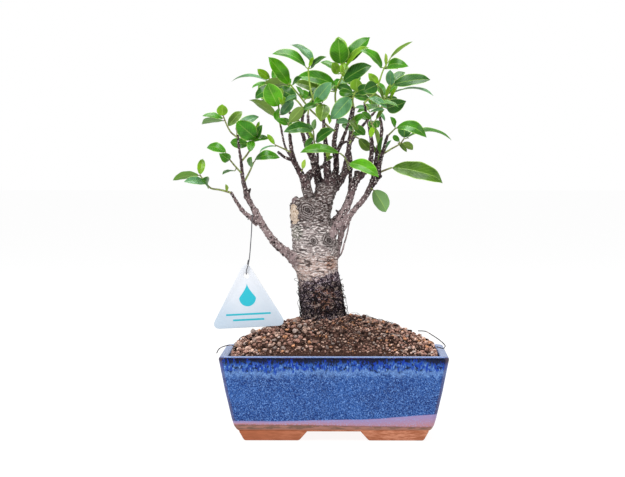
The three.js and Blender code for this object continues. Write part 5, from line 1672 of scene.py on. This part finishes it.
@dataclass
class SoilMound:
    """Coarse soil that fills the pot and mounds up round the trunk."""

    middle: Vector
    half_width: float = 102.4
    half_depth: float = 75.0
    sides: tuple = ((24.6, 16), (19.8, 22), (10.6, 69), (10.1, 72.2))
    foot: float = 74.0
    rise: float = 32.0
    mound_half_width: float = 98.4
    mound_half_depth: float = 67.0
    clod_height: float = 1.6
    clods_apart: float = 18.0
    clods_wander: float = 3.0
    clump: tuple = (15.0, -12.0)
    clump_height: float = 3.5
    clump_spread: float = 50.0
    corner: float = 6.0
    trunk_x: float = -9.3
    trunk_radius: float = 19.4
    hole_floor: float = 68.0
    rings: int = 34
    side_steps: int = 24
    sink: float = 1.4
    shapes: int = 7
    chips: int = 11
    squashes: tuple = ((0.8, 1.2), (0.72, 1.1), (0.62, 0.95))
    tries: int = 26000
    coarse_apart: float = 0.84
    fine_apart: float = 0.8
    left_sizes: tuple = (3.1, 7.8, 4.2)
    right_sizes: tuple = (2.8, 6.2, 3.5)
    fine_sizes: tuple = (1.3, 2.3)
    rim_sizes: tuple = (1.8, 3.5)
    rim_layers: int = 9
    finest: tuple = (14.0, -42.0)
    finest_reach: tuple = (14.0, 34.0)
    dice: random.Random = field(default_factory=lambda: random.Random(11))

    def height(self, x: float, y: float) -> float:
        """Give the mound's height at a place, with its clods in wandering rows.

        Args:
            x: The place across.
            y: The place in depth.

        Returns:
            The height.
        """
        across = max(0.0, 1 - abs(x / self.mound_half_width) ** 2.1)
        deep = max(0.0, 1 - abs(y / self.mound_half_depth) ** 2.3)
        pace = math.pi * math.sqrt(2) / self.clods_apart
        row = math.sin(pace * (x + self.clods_wander * math.sin(y / 9)))
        column = math.sin(pace * (y + self.clods_wander * math.sin(x / 8)))
        off_clump = (x - self.clump[0]) ** 2 + (y - self.clump[1]) ** 2
        clump = self.clump_height * math.exp(-off_clump / self.clump_spread)
        return self.foot + self.rise * across * deep**0.8 + self.clod_height * row * column + clump

    def build(self) -> None:
        """Make the bed and the grains that cover it."""
        earth = Earth().material(self.middle)
        hand_in(self._bed(), Slot.SOIL, earth, "soil")
        coarse = self._scatter(self._coarse_size, self.coarse_apart, [])
        fine = self._scatter(self._fine_size, self.fine_apart, coarse) + self._rim_grains()
        hand_in(self._grains("soil_grains_coarse", coarse, 2), Slot.SOIL, earth)
        hand_in(self._grains("soil_grains_fine", fine, 1), Slot.SOIL, earth)

    def _ring(self, inset: float) -> list[tuple[float, float]]:
        """Give places round the soil at an inset from the pot's rim.

        Args:
            inset: The inset.

        Returns:
            The places, in order.
        """
        half_x, half_y, round_ = self.half_width - inset, self.half_depth - inset, self.corner
        corners = [(half_x, -half_y), (half_x, half_y), (-half_x, half_y), (-half_x, -half_y)]
        places = []
        for quarter, ((x, y), (next_x, next_y)) in enumerate(zip(corners, corners[1:] + corners[:1])):
            pivot_x, pivot_y = x - math.copysign(round_, x), y - math.copysign(round_, y)
            for part in range(5):
                angle = (quarter - 1 + part / 4) * math.pi / 2
                places.append((pivot_x + round_ * math.cos(angle), pivot_y + round_ * math.sin(angle)))
            start = places[-1]
            end_x = next_x - math.copysign(round_ if quarter % 2 else 0, next_x)
            end_y = next_y - math.copysign(0 if quarter % 2 else round_, next_y)
            steps = [k / self.side_steps for k in range(1, self.side_steps)]
            places += [(start[0] + (end_x - start[0]) * k, start[1] + (end_y - start[1]) * k) for k in steps]
        return places

    def _bed(self) -> Object:
        """Make the body of the soil, with the hole that the trunk stands in.

        Returns:
            The bed.
        """
        rows = [[(x, y, z) for x, y in self._ring(inset)] for inset, z in self.sides]
        rim = self._ring(self.sides[-1][0])
        angles = [math.atan2(y, x - self.trunk_x) for x, y in rim]
        radius = self.trunk_radius
        mouth = [(self.trunk_x + radius * math.cos(angle), radius * math.sin(angle)) for angle in angles]
        for ring in range(self.rings + 1):
            share = 1 - ring / self.rings
            row = []
            for (in_x, in_y), (out_x, out_y) in zip(mouth, rim):
                x, y = in_x + (out_x - in_x) * share, in_y + (out_y - in_y) * share
                rough = noise.fractal(Vector((x, y, 0)) * 0.3, 0.6, 2.0, 3) * 1.2
                row.append((x, y, self.height(x, y) - self.sink + (rough if 0 < ring < self.rings else 0)))
            rows.append(row)
        rows.append([(x, y, self.hole_floor) for x, y in mouth])
        count = len(rim)
        faces = [list(range(count))[::-1]]
        for ring in range(len(rows) - 1):
            start = ring * count
            for k in range(count):
                after = (k + 1) % count
                faces.append([start + k, start + after, start + count + after, start + count + k])
        faces.append([(len(rows) - 1) * count + k for k in range(count)])
        points = np.array([place for row in rows for place in row]) * MM + np.array(self.middle)
        bed = mesh_object("soil_bed", points, faces)
        smooth(bed)
        # The bed is darker than the grains: partly the soil's own colour, partly painted shade in the gaps
        # between them.
        mark(bed, "tint", "POINT", np.tile(seen(66, 46, 39), (len(points), 1)))
        return bed

    def _direction(self) -> Vector:
        """Draw a direction, of length 1."""
        return Vector([self.dice.uniform(-1, 1) for _ in range(3)]).normalized()

    def _fineness(self, x: float, y: float) -> float:
        """Give how fine the soil is at a place, 1 in front of the trunk."""
        far = math.hypot((x - self.finest[0]) / 1.5, (y - self.finest[1]) / 1.2)
        return float(1 - ease(far, *self.finest_reach))

    def _coarse_size(self, x: float, y: float) -> float:
        """Draw the size of a coarse grain."""
        size = self.dice.triangular(*(self.left_sizes if x < 5 else self.right_sizes))
        return size * (1 - 0.42 * self._fineness(x, y))

    def _fine_size(self, x: float, y: float) -> float:
        """Draw the size of a fine grain."""
        return self.dice.uniform(*self.fine_sizes)

    def _scatter(
        self, size_at: Callable[[float, float], float], crowd: float, others: list[Row]
    ) -> list[Row]:
        """Drop grains that keep clear of each other.

        Args:
            size_at: Draws a grain's size at a place.
            crowd: The share of two grains' sizes that their middles keep apart.
            others: Grains that are there already, which the new ones may half cover.

        Returns:
            Each grain's place and size.
        """
        cell = 7.0
        bins: dict[tuple[int, int], list[Row]] = {}
        for grain in others:
            bins.setdefault((int(grain[0] // cell), int(grain[1] // cell)), []).append(grain)
        made = []
        limit_x, limit_y = self.half_width - self.sides[-1][0], self.half_depth - self.sides[-1][0]
        for _ in range(self.tries):
            x, y = self.dice.uniform(-limit_x, limit_x), self.dice.uniform(-limit_y, limit_y)
            size = size_at(x, y)
            if abs(x) > limit_x - size * 0.55 or abs(y) > limit_y - size * 0.55:
                continue
            if math.hypot(x - self.trunk_x, y) < self.trunk_radius + size * 0.45:
                continue
            near_x, near_y = int(x // cell), int(y // cell)
            near = [g for i in (-1, 0, 1) for j in (-1, 0, 1) for g in bins.get((near_x + i, near_y + j), [])]
            if any(math.hypot(g[0] - x, g[1] - y) < crowd * (g[3] + size) / 2 for g in near):
                continue
            z = self.height(x, y) - self.sink + size * self.dice.uniform(0.2, 0.42)
            grain = (x, y, z, size)
            bins.setdefault((near_x, near_y), []).append(grain)
            made.append(grain)
        return made

    def _rim_grains(self) -> list[Row]:
        """Pack grains against the pot's wall, where the edge of the mound shows over the lip.

        Returns:
            Each grain's place and size.
        """
        made = []
        edge = self.sides[-1][0]
        for x, y in self._ring(edge + 1.3):
            for _ in range(self.rim_layers):
                size = self.dice.uniform(*self.rim_sizes)
                inward = 1 - self.dice.uniform(0.0, 0.03)
                x_free, y_free = x * inward + self.dice.uniform(-1, 1), y * inward
                limit_x, limit_y = self.half_width - edge - size / 2, self.half_depth - edge - size / 2
                spot_x = max(-limit_x, min(limit_x, x_free + self.dice.uniform(-2.5, 2.5)))
                spot_y = max(-limit_y, min(limit_y, y_free + self.dice.uniform(-2.5, 2.5)))
                top = self.height(spot_x, spot_y) - 0.4
                made.append((spot_x, spot_y, self.dice.uniform(73.5, max(74.5, top)), size))
        return made

    def _grains(self, name: str, grains: list[Row], level: int) -> Object:
        """Model a few grain shapes and set one at each place, turned at random.

        Args:
            name: Its name.
            grains: Each grain's place and size.
            level: How finely a grain is divided.

        Returns:
            The grains as one piece.
        """
        shapes = [self._grain_shape(level) for _ in range(self.shapes)]
        tints = [seen(*crumb.value[0]) for crumb in Crumb]
        shares = [crumb.value[1] for crumb in Crumb]
        points, faces, colours, first = [], [], [], 0
        for x, y, z, size in grains:
            shape, shape_faces = self.dice.choice(shapes)
            spin = self._direction().rotation_difference(Vector((0, 0, 1))).to_matrix()
            squash = np.diag([self.dice.uniform(low, high) for low, high in self.squashes])
            points.append(shape @ np.array(spin).T @ squash * (size / 2) + np.array((x, y, z)))
            faces += (shape_faces + first).tolist()
            first += len(shape)
            tint = self.dice.choices(tints, shares)[0]
            light = self.dice.uniform(0.6, 1.3) * (0.75 if size < 1.8 else 1.0)
            light *= 1 - 0.3 * self._fineness(x, y)
            colours.append(np.tile([*(part * light for part in tint[:3]), 1.0], (len(shape), 1)))
        piece = mesh_object(name, np.vstack(points) * MM + np.array(self.middle), faces)
        mark(piece, "tint", "POINT", np.vstack(colours))
        smooth(piece, 8)
        return piece

    def _grain_shape(self, level: int) -> tuple[np.ndarray, np.ndarray]:
        """Model one broken grain of radius 1 and put it away, giving its corners and faces.

        Args:
            level: How finely a grain is divided.

        Returns:
            Its corners and its faces.
        """
        bpy.ops.mesh.primitive_ico_sphere_add(subdivisions=level, radius=1)
        grain = bpy.context.object
        places = corner_places(grain)
        for _ in range(self.chips):
            chip = np.array(self._direction())
            over = np.maximum(places @ chip - self.dice.uniform(0.45, 0.82), 0)
            places -= over[:, None] * chip
        places *= np.array([[self.dice.uniform(0.92, 1.12)] for _ in places])
        faces = np.array([list(face.vertices) for face in grain.data.polygons])
        bpy.data.objects.remove(grain)
        return places, faces


# ---- wood ----


@dataclass
class Wood:
    """The trunk and its cut limbs, grown together as one body, and the root hairs at its foot."""

    middle: Vector
    mound: SoilMound
    voxel: float = 0.75
    crotch: float = 2.4
    wounds: tuple = (((-40, -13, 199), (9.5, 14, 11.5)),)
    knots: tuple = (((-6.5, 176), 10.0, 1.6), ((-25.5, 203), 11.0, 1.8), ((-17.8, 175), 5.0, 1.2))
    ring_gap: float = 2.4
    shoulder: tuple = ((-33.0, -5.0, 211.0), (-0.36, -0.1, 0.928))
    shoulder_girth: float = 8.0
    shoulder_right: float = -19.0
    shoulder_low: float = 204.0
    mat_top: float = 140.0
    trunk_hairs: int = 300
    soil_hairs: int = 90
    loop_radius: float = 0.42
    dice: random.Random = field(default_factory=lambda: random.Random(5))

    def build(self) -> None:
        """Make the wood and the root hairs."""
        wood = rods("wood", [self._metres(smooth_rows(rows, 2.0)) for rows in LIMBS.values()], 20)
        finish_with(wood, "REMESH", mode="VOXEL", voxel_size=self.voxel * MM)
        self._shape(wood)
        smooth(wood, 180)
        hand_in(wood, Slot.BARK, Bark().material(self.middle), "trunk")
        hairs = rods("root_hairs", [self._metres(row) for row in self._hairs()], 4)
        smooth(hairs, 100)
        hand_in(hairs, Slot.BARK, RootHair().material(self.middle))

    def _metres(self, rows: np.ndarray) -> np.ndarray:
        """Turn rows of place and radius in the pot's millimetres into metres in the frame."""
        return rows * MM + np.array((*self.middle, 0.0))

    def _survey(self, points: np.ndarray) -> tuple[np.ndarray, np.ndarray, np.ndarray]:
        """Measure points against the limbs.

        Args:
            points: The points, in the pot's millimetres.

        Returns:
            Their height over the limbs' skin, rounded in the crotches, and the girth and the run along the
            limb where they lie.
        """
        height = np.full(len(points), 100.0)
        girth = np.ones(len(points))
        run = np.zeros(len(points))
        for name, knots in LIMBS.items():
            rows = smooth_rows(knots, 5.0)
            reach = rows[:, 3].max() * 1.1 + 4
            low, high = rows[:, :3].min(0) - reach, rows[:, :3].max(0) + reach
            inside = np.all((points > low) & (points < high), axis=1)
            near = points[inside]
            gap = np.full(len(near), 100.0)
            radius = np.ones(len(near))
            along = np.zeros(len(near))
            walked = 0.0
            for start, end in pairwise(rows):
                span = end[:3] - start[:3]
                length = float(np.linalg.norm(span))
                share = np.clip((near - start[:3]) @ span / length**2, 0, 1)
                spoke = near - start[:3] - share[:, None] * span
                thick = start[3] + share * (end[3] - start[3])
                if name == "trunk":
                    thick = thick * self._flutes(np.arctan2(-spoke[:, 1], -spoke[:, 0]), near[:, 2])
                over = np.linalg.norm(spoke, axis=1) - thick
                closer = over < gap
                gap[closer], radius[closer] = over[closer], thick[closer]
                along[closer] = walked + share[closer] * length
                walked += length
            before = height[inside]
            overlap = np.maximum(self.crotch - np.abs(before - gap), 0) / self.crotch
            height[inside] = np.minimum(before, gap) - overlap**2 * self.crotch / 4
            girth[inside] = np.where(gap < before, radius, girth[inside])
            run[inside] = np.where(gap < before, along, run[inside])
        return height, girth, run

    @staticmethod
    def _flutes(angle: np.ndarray, z: np.ndarray) -> np.ndarray:
        """Give the trunk's long swellings."""
        return 1 + 0.035 * np.sin(3 * angle + z * 0.05) + 0.02 * np.sin(5 * angle - z * 0.09)

    def _shape(self, wood: Object) -> None:
        """Draw the remeshed wood back onto its limbs, raise its bark, and mark girth, wounds and creases.

        Args:
            wood: The remeshed wood.
        """
        points = (corner_places(wood) - np.array(self.middle)) / MM
        height, girth, run = self._survey(points)
        normals = np.empty(len(points) * 3, np.float32)
        wood.data.vertices.foreach_get("normal", normals)
        normals = normals.reshape(-1, 3).astype(float)
        points -= normals * np.clip(height, -0.4, 0.4)[:, None]
        place, facing = map(np.array, self.shoulder)
        over = np.maximum((points - place) @ facing, 0)
        over *= (points[:, 0] < self.shoulder_right) * (points[:, 2] > self.shoulder_low)
        over *= girth > self.shoulder_girth
        points -= over[:, None] * facing
        girth = self._even_out(wood, girth, 40)
        wound = self._wound_marks(points)
        crease, swell = self._knot_marks(points)
        relief = np.array([self._relief(*row) for row in zip(points, girth, run, wound)])
        relief += swell + 0.35 * (crease - 0.5) * (swell > 0.05)
        points += normals * relief[:, None]
        place_corners(wood, points * MM + np.array(self.middle))
        mark(wood, "girth", "POINT", girth)
        mark(wood, "wound", "POINT", wound)
        mark(wood, "crease", "POINT", crease)

    @staticmethod
    def _even_out(piece: Object, values: np.ndarray, rounds: int) -> np.ndarray:
        """Smooth values over a mesh, each towards the mean of its neighbours.

        Args:
            piece: The piece.
            values: A value for each corner.
            rounds: How often they are smoothed.

        Returns:
            The smoothed values.
        """
        ends = np.empty(len(piece.data.edges) * 2, np.int32)
        piece.data.edges.foreach_get("vertices", ends)
        left, right = ends.reshape(-1, 2).T
        count = np.bincount(ends, minlength=len(values))
        for _ in range(rounds):
            total = np.bincount(left, values[right], len(values))
            total += np.bincount(right, values[left], len(values))
            values = (values + total / np.maximum(count, 1)) / 2
        return values

    def _knot_marks(self, points: np.ndarray) -> tuple[np.ndarray, np.ndarray]:
        """Give the rings of bark round each knot, 0 in a crease and 1 elsewhere, and how far the knot swells.

        Args:
            points: The points, in the pot's millimetres.

        Returns:
            The creases and the swelling.
        """
        crease, swell = np.ones(len(points)), np.zeros(len(points))
        uneven = 0.5 * np.sin(points[:, 0] + points[:, 2] * 0.7)
        for (x, z), radius, height in self.knots:
            far = np.hypot((points[:, 0] - x) * 1.15, points[:, 2] - z) + uneven
            near = (1 - ease(far, radius * 0.6, radius)) * (points[:, 1] < -6)
            wave = 0.5 + 0.5 * np.cos(2 * np.pi * far / self.ring_gap)
            crease = np.minimum(crease, 1 - near * (1 - wave))
            swell = np.maximum(swell, height * near)
        return crease, swell

    def _wound_marks(self, points: np.ndarray) -> np.ndarray:
        """Give how much of a cut scar lies at each point, 0 to 1.

        Args:
            points: The points, in the pot's millimetres.

        Returns:
            The share at each point.
        """
        marks = np.zeros(len(points))
        for middle, radii in self.wounds:
            far = np.linalg.norm((points - np.array(middle)) / np.array(radii), axis=1)
            far += 0.1 * np.sin(points[:, 2] * 0.9 + points[:, 1] * 0.4) + 0.07 * np.sin(points[:, 2] * 2.1)
            marks = np.maximum(marks, 1 - ease(far, 0.7, 1.05))
        return marks

    def _relief(self, place: np.ndarray, girth: float, run: float, wound: float) -> float:
        """Give the height of the bark at a place, in millimetres.

        Args:
            place: The place.
            girth: The radius of the limb there.
            run: How far along the limb it lies.
            wound: How much of a scar it is.

        Returns:
            The height.
        """
        x, y, z = place
        spot = Vector(place)
        thick = float(ease(girth, 4, 10))
        wrinkle = noise.noise(Vector((x * 0.1, y * 0.1, z * 0.42)))
        lump = noise.noise(spot * 0.11)
        rough = noise.noise(spot * 0.45)
        trunk = 0.9 * wrinkle + 0.8 * lump + 0.4 * rough
        ring = math.exp(-((((run + 3 * noise.noise(spot * 0.05)) % 8.5) - 4.2) ** 2) / 1.6)
        knobbly = noise.noise(Vector((x * 0.15, y * 0.15, run * 0.8)))
        limb = girth * (0.15 * ring + 0.12 * knobbly + 0.14 * rough)
        mat = float(1 - ease(z + 8 * lump, self.mat_top - 6, self.mat_top + 2)) * thick
        matted = 1.3 * noise.noise(spot * 0.33) + 0.8 * noise.noise(spot * 0.9)
        bark = thick * trunk + (1 - thick) * limb + mat * (matted - 0.5 * trunk)
        return bark * (1 - 0.6 * wound) - 0.7 * wound

    def _hairs(self) -> list[np.ndarray]:
        """Draw the fine roots: matted on the trunk's foot, and lying on the soil.

        Returns:
            The rows of place and radius of each root.
        """
        strands = [self._trunk_hair() for _ in range(self.trunk_hairs)]
        strands += [self._soil_hair() for _ in range(self.soil_hairs)]
        loops = [[(*place, self.loop_radius) for place in loop] for loop in ROOT_LOOPS]
        return strands + [smooth_rows(loop, 1.5) for loop in loops]

    def _trunk_hair(self) -> np.ndarray:
        """Draw a root that creeps over the trunk's foot.

        Returns:
            Its rows of place and radius.
        """
        angle, z = self.dice.uniform(-math.pi, math.pi), self.dice.uniform(96, self.mat_top)
        turn = self.dice.choice((-1, 1)) * self.dice.uniform(0.04, 0.16)
        slope = self.dice.uniform(-3.2, 1.0)
        radius = self.dice.triangular(0.14, 0.4, 0.2)
        loose = self.dice.choice((0.5, 0.5, 0.9, 3.2))
        xs, _, zs, radii = zip(*LIMBS["trunk"])
        rows = []
        steps = self.dice.randint(7, 15)
        for step in range(steps):
            middle = np.interp(z, zs, xs)
            girth = np.interp(z, zs, radii) * float(self._flutes(angle, z)) + 0.3
            girth = girth + loose * math.sin(math.pi * step / steps) ** 2
            rows.append((middle - girth * math.cos(angle), -girth * math.sin(angle), z, radius))
            turn += self.dice.uniform(-0.05, 0.05)
            slope += self.dice.uniform(-1.0, 1.0)
            angle, z = angle + turn, min(self.mat_top + 3, max(95.0, z + slope))
        return smooth_rows(rows, 1.6)

    def _soil_hair(self) -> np.ndarray:
        """Draw a root that lies on the soil, in front and to the right of the trunk.

        Returns:
            Its rows of place and radius.
        """
        heading = self.dice.uniform(-2.4, 0.3)
        reach = self.dice.uniform(20, 62)
        x, y = self.mound.trunk_x + reach * math.cos(heading), reach * math.sin(heading)
        heading += self.dice.uniform(-1.6, 1.6)
        radius = self.dice.triangular(0.1, 0.22, 0.13)
        rows = []
        for _ in range(self.dice.randint(5, 12)):
            if abs(x) > 86 or abs(y) > 61:
                break
            rows.append((x, y, self.mound.height(x, y) + self.dice.uniform(0.6, 2.2), radius))
            heading += self.dice.uniform(-0.6, 0.6)
            x, y = x + 2.6 * math.cos(heading), y + 2.6 * math.sin(heading)
        if len(rows) < 3:
            rows = [(-9, -22, 104, radius), (-6, -25, 103, radius), (-2, -27, 102, radius)]
        return smooth_rows(rows, 1.3)


# ---- shoots ----


@dataclass
class LeafyShoot:
    """A shoot's stem and its leaves, modelled as one piece."""

    name: str
    shoot: Shoot
    middle: Vector
    thick: float = 0.34
    fold: float = 0.2
    petiole: tuple = (0.55, 0.48, 0.45, 0.3)
    rows: int = 22
    columns: tuple = (-1, -0.84, -0.58, -0.3, -0.09, 0, 0.09, 0.3, 0.58, 0.84, 1)

    def build(self, material: Material) -> None:
        """Make the shoot.

        Args:
            material: The finish that all shoots share.
        """
        dice = random.Random(self.name)
        stem = smooth_rows([(*place, 0) for place in self.shoot.stem], 1.5)
        stem[:, 3] = np.linspace(self.shoot.girth[0], self.shoot.girth[1], len(stem))
        strands = [stem] + [self._petiole(leaf, stem) for leaf in self.shoot.leaves]
        wood = rods(f"{self.name}_leaves", [row * MM + np.array((*self.middle, 0)) for row in strands], 8)
        mark(wood, "tint", "POINT", np.tile(Tone.OLIVE.value + (1,), (len(wood.data.vertices), 1)) / 255)
        mark(wood, "under", "CORNER", np.zeros(len(wood.data.loops)))
        mark(wood, "stem", "CORNER", np.ones(len(wood.data.loops)))
        if not wood.data.uv_layers:
            wood.data.uv_layers.new(name="UVMap")
        blades = [self._blade(leaf, dice) for leaf in self.shoot.leaves]
        take(wood, *blades)
        bpy.ops.object.join()
        smooth(wood, 75)
        hand_in(wood, Slot.LEAF, material, f"shoot_{self.name}")

    def _petiole(self, leaf: Leaf, stem: np.ndarray) -> np.ndarray:
        """Draw a leaf's stalk from the stem into its blade.

        Args:
            leaf: The leaf.
            stem: The rows of the stem.

        Returns:
            Its rows of place and radius.
        """
        base, tip = np.array(leaf.base), np.array(leaf.tip)
        root = stem[np.argmin(np.linalg.norm(stem[:, :3] - base, axis=1)), :3]
        inner = base + (tip - base) * 0.06
        bend = (root + base) / 2 + (tip - base) / 40
        places = (root, bend, base, inner)
        return smooth_rows([(*place, radius) for place, radius in zip(places, self.petiole)], 0.8)

    def _blade(self, leaf: Leaf, dice: random.Random) -> Object:
        """Model a leaf's blade: a thin closed body, folded along its rib, waved, with a hooked tip.

        Args:
            leaf: The leaf.
            dice: Draws what differs from leaf to leaf.

        Returns:
            The blade.
        """
        base = np.array(leaf.base, float)
        along = np.array(leaf.tip) - base
        length = float(np.linalg.norm(along))
        along /= length
        face = self._face(along, leaf.show)
        side = np.cross(face, along)
        t = np.linspace(0, 1, self.rows)[:, None]
        v = np.array(self.columns)[None, :]
        outline = np.maximum(np.sin(np.pi * t**0.94), 0) ** 0.6
        reach = leaf.width / 2 * outline * (1 - 0.4 * ease(t, 0.87, 0.99))
        reach = reach + 0.4 * np.exp(-((t / 0.05) ** 2)) + 0.06
        waves, phase = dice.uniform(1.6, 3.2), dice.uniform(0, 1)
        swing = np.sin(2 * np.pi * (waves * t + phase + 0.25 * np.sign(v)))
        wave = dice.uniform(0.012, 0.035) * leaf.width * swing * v**2
        tail = np.maximum(t - 0.78, 0) / 0.22
        hook_side, hook_down = dice.uniform(-0.05, 0.05) * length, dice.uniform(0.01, 0.07) * length
        twist = dice.uniform(-0.35, 0.35) * (t - 0.3)
        rise = self.fold * np.abs(v) ** 1.25 * reach + wave * outline
        across = v * reach * np.cos(twist) - rise * np.sin(twist)
        lift = v * reach * np.sin(twist) + rise * np.cos(twist)
        lift = lift + 4 * leaf.arch * t * (1 - t) - hook_down * tail**2
        across = across + hook_side * tail**2
        run = t * length * np.ones_like(v)
        middle = base + run[..., None] * along + across[..., None] * side + lift[..., None] * face
        body = self.thick / 2 * np.sqrt(np.maximum(1 - v**2, 0)) * np.minimum(1, 12 * np.minimum(t, 1 - t))
        rib = 0.16 * np.exp(-((v / 0.07) ** 2)) * (1 - t) * (body > 0)
        upper = middle + (body - rib)[..., None] * face
        lower = middle - (body + 2.2 * rib)[..., None] * face
        light = dice.uniform(0.8, 1.15)
        return self._closed_sheet(upper, lower, [part * light for part in seen(*leaf.tone.value)[:3]])

    @staticmethod
    def _face(along: np.ndarray, show: float) -> np.ndarray:
        """Give the way that the upper side of a blade looks, at right angles to its length.

        Args:
            along: The way from base to tip.
            show: The share of the upper side that is turned to the front.

        Returns:
            The direction, of length 1.
        """
        flat = np.cross(along, FRONT)
        flat /= np.linalg.norm(flat)
        if flat[2] < -0.05:
            flat = -flat
        front = FRONT - along * (FRONT @ along)
        front /= np.linalg.norm(front)
        return flat * math.sqrt(1 - show * show) + front * show

    def _closed_sheet(self, upper: np.ndarray, lower: np.ndarray, tint: list[float]) -> Object:
        """Join two grids of points along their common border, as one body.

        Args:
            upper: The upper side, rows from base to tip and columns across.
            lower: The underside, alike.
            tint: The colour of the leaf, linear.

        Returns:
            The blade, with its UV map, tint and sides marked.
        """
        rows, columns = upper.shape[:2]
        index_up = np.arange(rows * columns).reshape(rows, columns)
        index_low = index_up.copy()
        inner = (slice(1, rows - 1), slice(1, columns - 1))
        extra = np.arange((rows - 2) * (columns - 2)).reshape(rows - 2, columns - 2)
        index_low[inner] = rows * columns + extra
        points = np.vstack([upper.reshape(-1, 3), lower[inner].reshape(-1, 3)])
        faces, uvs, under = [], [], []
        for side, index in enumerate((index_up, index_low)):
            for r in range(rows - 1):
                for c in range(columns - 1):
                    corners = [(r, c), (r + 1, c), (r + 1, c + 1), (r, c + 1)]
                    corners = corners[::-1] if side == 0 else corners
                    faces.append([int(index[at]) for at in corners])
                    uvs += [((self.columns[c_] + 1) / 2, r_ / (rows - 1)) for r_, c_ in corners]
                    under += [side] * 4
        blade = mesh_object("blade", points * MM + np.array(self.middle), faces)
        blade.data.uv_layers.new(name="UVMap").data.foreach_set("uv", np.array(uvs, np.float32).ravel())
        mark(blade, "tint", "POINT", np.tile((*tint, 1.0), (len(points), 1)))
        mark(blade, "under", "CORNER", np.array(under, float))
        mark(blade, "stem", "CORNER", np.zeros(len(under)))
        return blade


# ---- studio ----


@dataclass(frozen=True)
class SoftBox:
    """A square studio light that looks at the tree."""

    name: str
    place: Place
    size: float
    power: float

    def build(self, target: Vector) -> None:
        """Hang the light.

        Args:
            target: Where it looks.
        """
        bpy.ops.object.light_add(type="AREA", location=self.place)
        light = bpy.context.object
        light.name = self.name
        light.data.size = self.size
        light.data.energy = self.power
        light.rotation_euler = (target - Vector(self.place)).to_track_quat("-Z", "Y").to_euler()


@dataclass
class Studio:
    """The camera, placed in millimetres, and the pale floor and the lights, placed in metres."""

    middle: Vector
    camera_place: Place = (13.3, -2234.0, 253.5)
    camera_tilt: float = 88.03
    camera_turn: float = 0.85
    lens: float = 141.5
    floor_size: float = 30.0
    floor_level: float = -0.0002
    target_height: float = 0.18
    room_light: float = 0.5
    lights: tuple = (
        SoftBox("key", (-1.1, -1.5, 1.5), 1.0, 38.0),
        SoftBox("fill", (1.4, -1.3, 0.9), 1.4, 14.0),
        SoftBox("top", (0.1, 0.2, 1.9), 1.2, 34.0),
    )

    def place_camera(self) -> None:
        """Set the camera where the photograph was taken from."""
        turn = (math.radians(self.camera_tilt), 0, math.radians(self.camera_turn))
        bpy.ops.object.camera_add(location=self.middle + Vector(self.camera_place) * MM, rotation=turn)
        camera = bpy.context.object
        camera.data.lens = self.lens
        camera.data.sensor_width = 36
        bpy.context.scene.camera = camera

    def build(self) -> None:
        """Lay the floor and hang the lights."""
        bpy.ops.mesh.primitive_plane_add(size=self.floor_size, location=(0, 0, self.floor_level))
        floor = bpy.context.object
        floor.name = "studio_floor"
        floor.data.materials.append(self._floor_material())
        for light in self.lights:
            light.build(self.middle + Vector((0, 0, self.target_height)))
        self._room()
        bpy.context.scene.view_settings.view_transform = "Standard"

    @staticmethod
    def _floor_material() -> Material:
        """Mix a pale floor that glows a little, so that shadows on it stay light.

        Returns:
            The material.
        """
        paint = Paint("studio_floor")
        matt = paint.node("BsdfDiffuse", None, {"Color": (0.86, 0.86, 0.86, 1)})
        glow = paint.node("Emission", None, {"Color": (1, 1, 1, 1), "Strength": 1.12})
        return paint.close(paint.node("MixShader", None, {0: 0.8, 1: matt, 2: glow}))

    def _room(self) -> None:
        """Surround the scene with even white light, and a white that the camera sees."""
        world = bpy.data.worlds.new("studio_room")
        bpy.context.scene.world = world
        world.use_nodes = True
        tree = world.node_tree
        tree.nodes.clear()
        mix = tree.nodes.new("ShaderNodeMixShader")
        for socket, strength in ((1, self.room_light), (2, 1.0)):
            white = tree.nodes.new("ShaderNodeBackground")
            white.inputs["Strength"].default_value = strength
            white.inputs["Color"].default_value = (1, 1, 1, 1)
            tree.links.new(white.outputs[0], mix.inputs[socket])
        path = tree.nodes.new("ShaderNodeLightPath")
        end = tree.nodes.new("ShaderNodeOutputWorld")
        tree.links.new(path.outputs["Is Camera Ray"], mix.inputs[0])
        tree.links.new(mix.outputs[0], end.inputs["Surface"])


# ---- the whole ----


def pot_middle() -> Vector:
    """Give the place in the middle of the pot that the tables start from."""
    low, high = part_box("pot")
    return Vector(((low.x + high.x) / 2, (low.y + high.y) / 2, low.z - FEET_STAND_AT * MM))


def main() -> None:
    """Build the studio, the tag on its wire, the pot, the soil, the wood and the shoots."""
    logging.basicConfig(level=logging.INFO, format="%(name)s: %(message)s")
    middle = pot_middle()
    studio = Studio(middle)
    studio.place_camera()
    HangingTag(middle).build()
    Pot(middle).build()
    mound = SoilMound(middle)
    mound.build()
    Wood(middle, mound).build()
    foliage = Foliage().material()
    for name, plan in SHOOTS.items():
        LeafyShoot(name, plan, middle).build(foliage)
    studio.build()


if __name__ == "__main__":
    main()
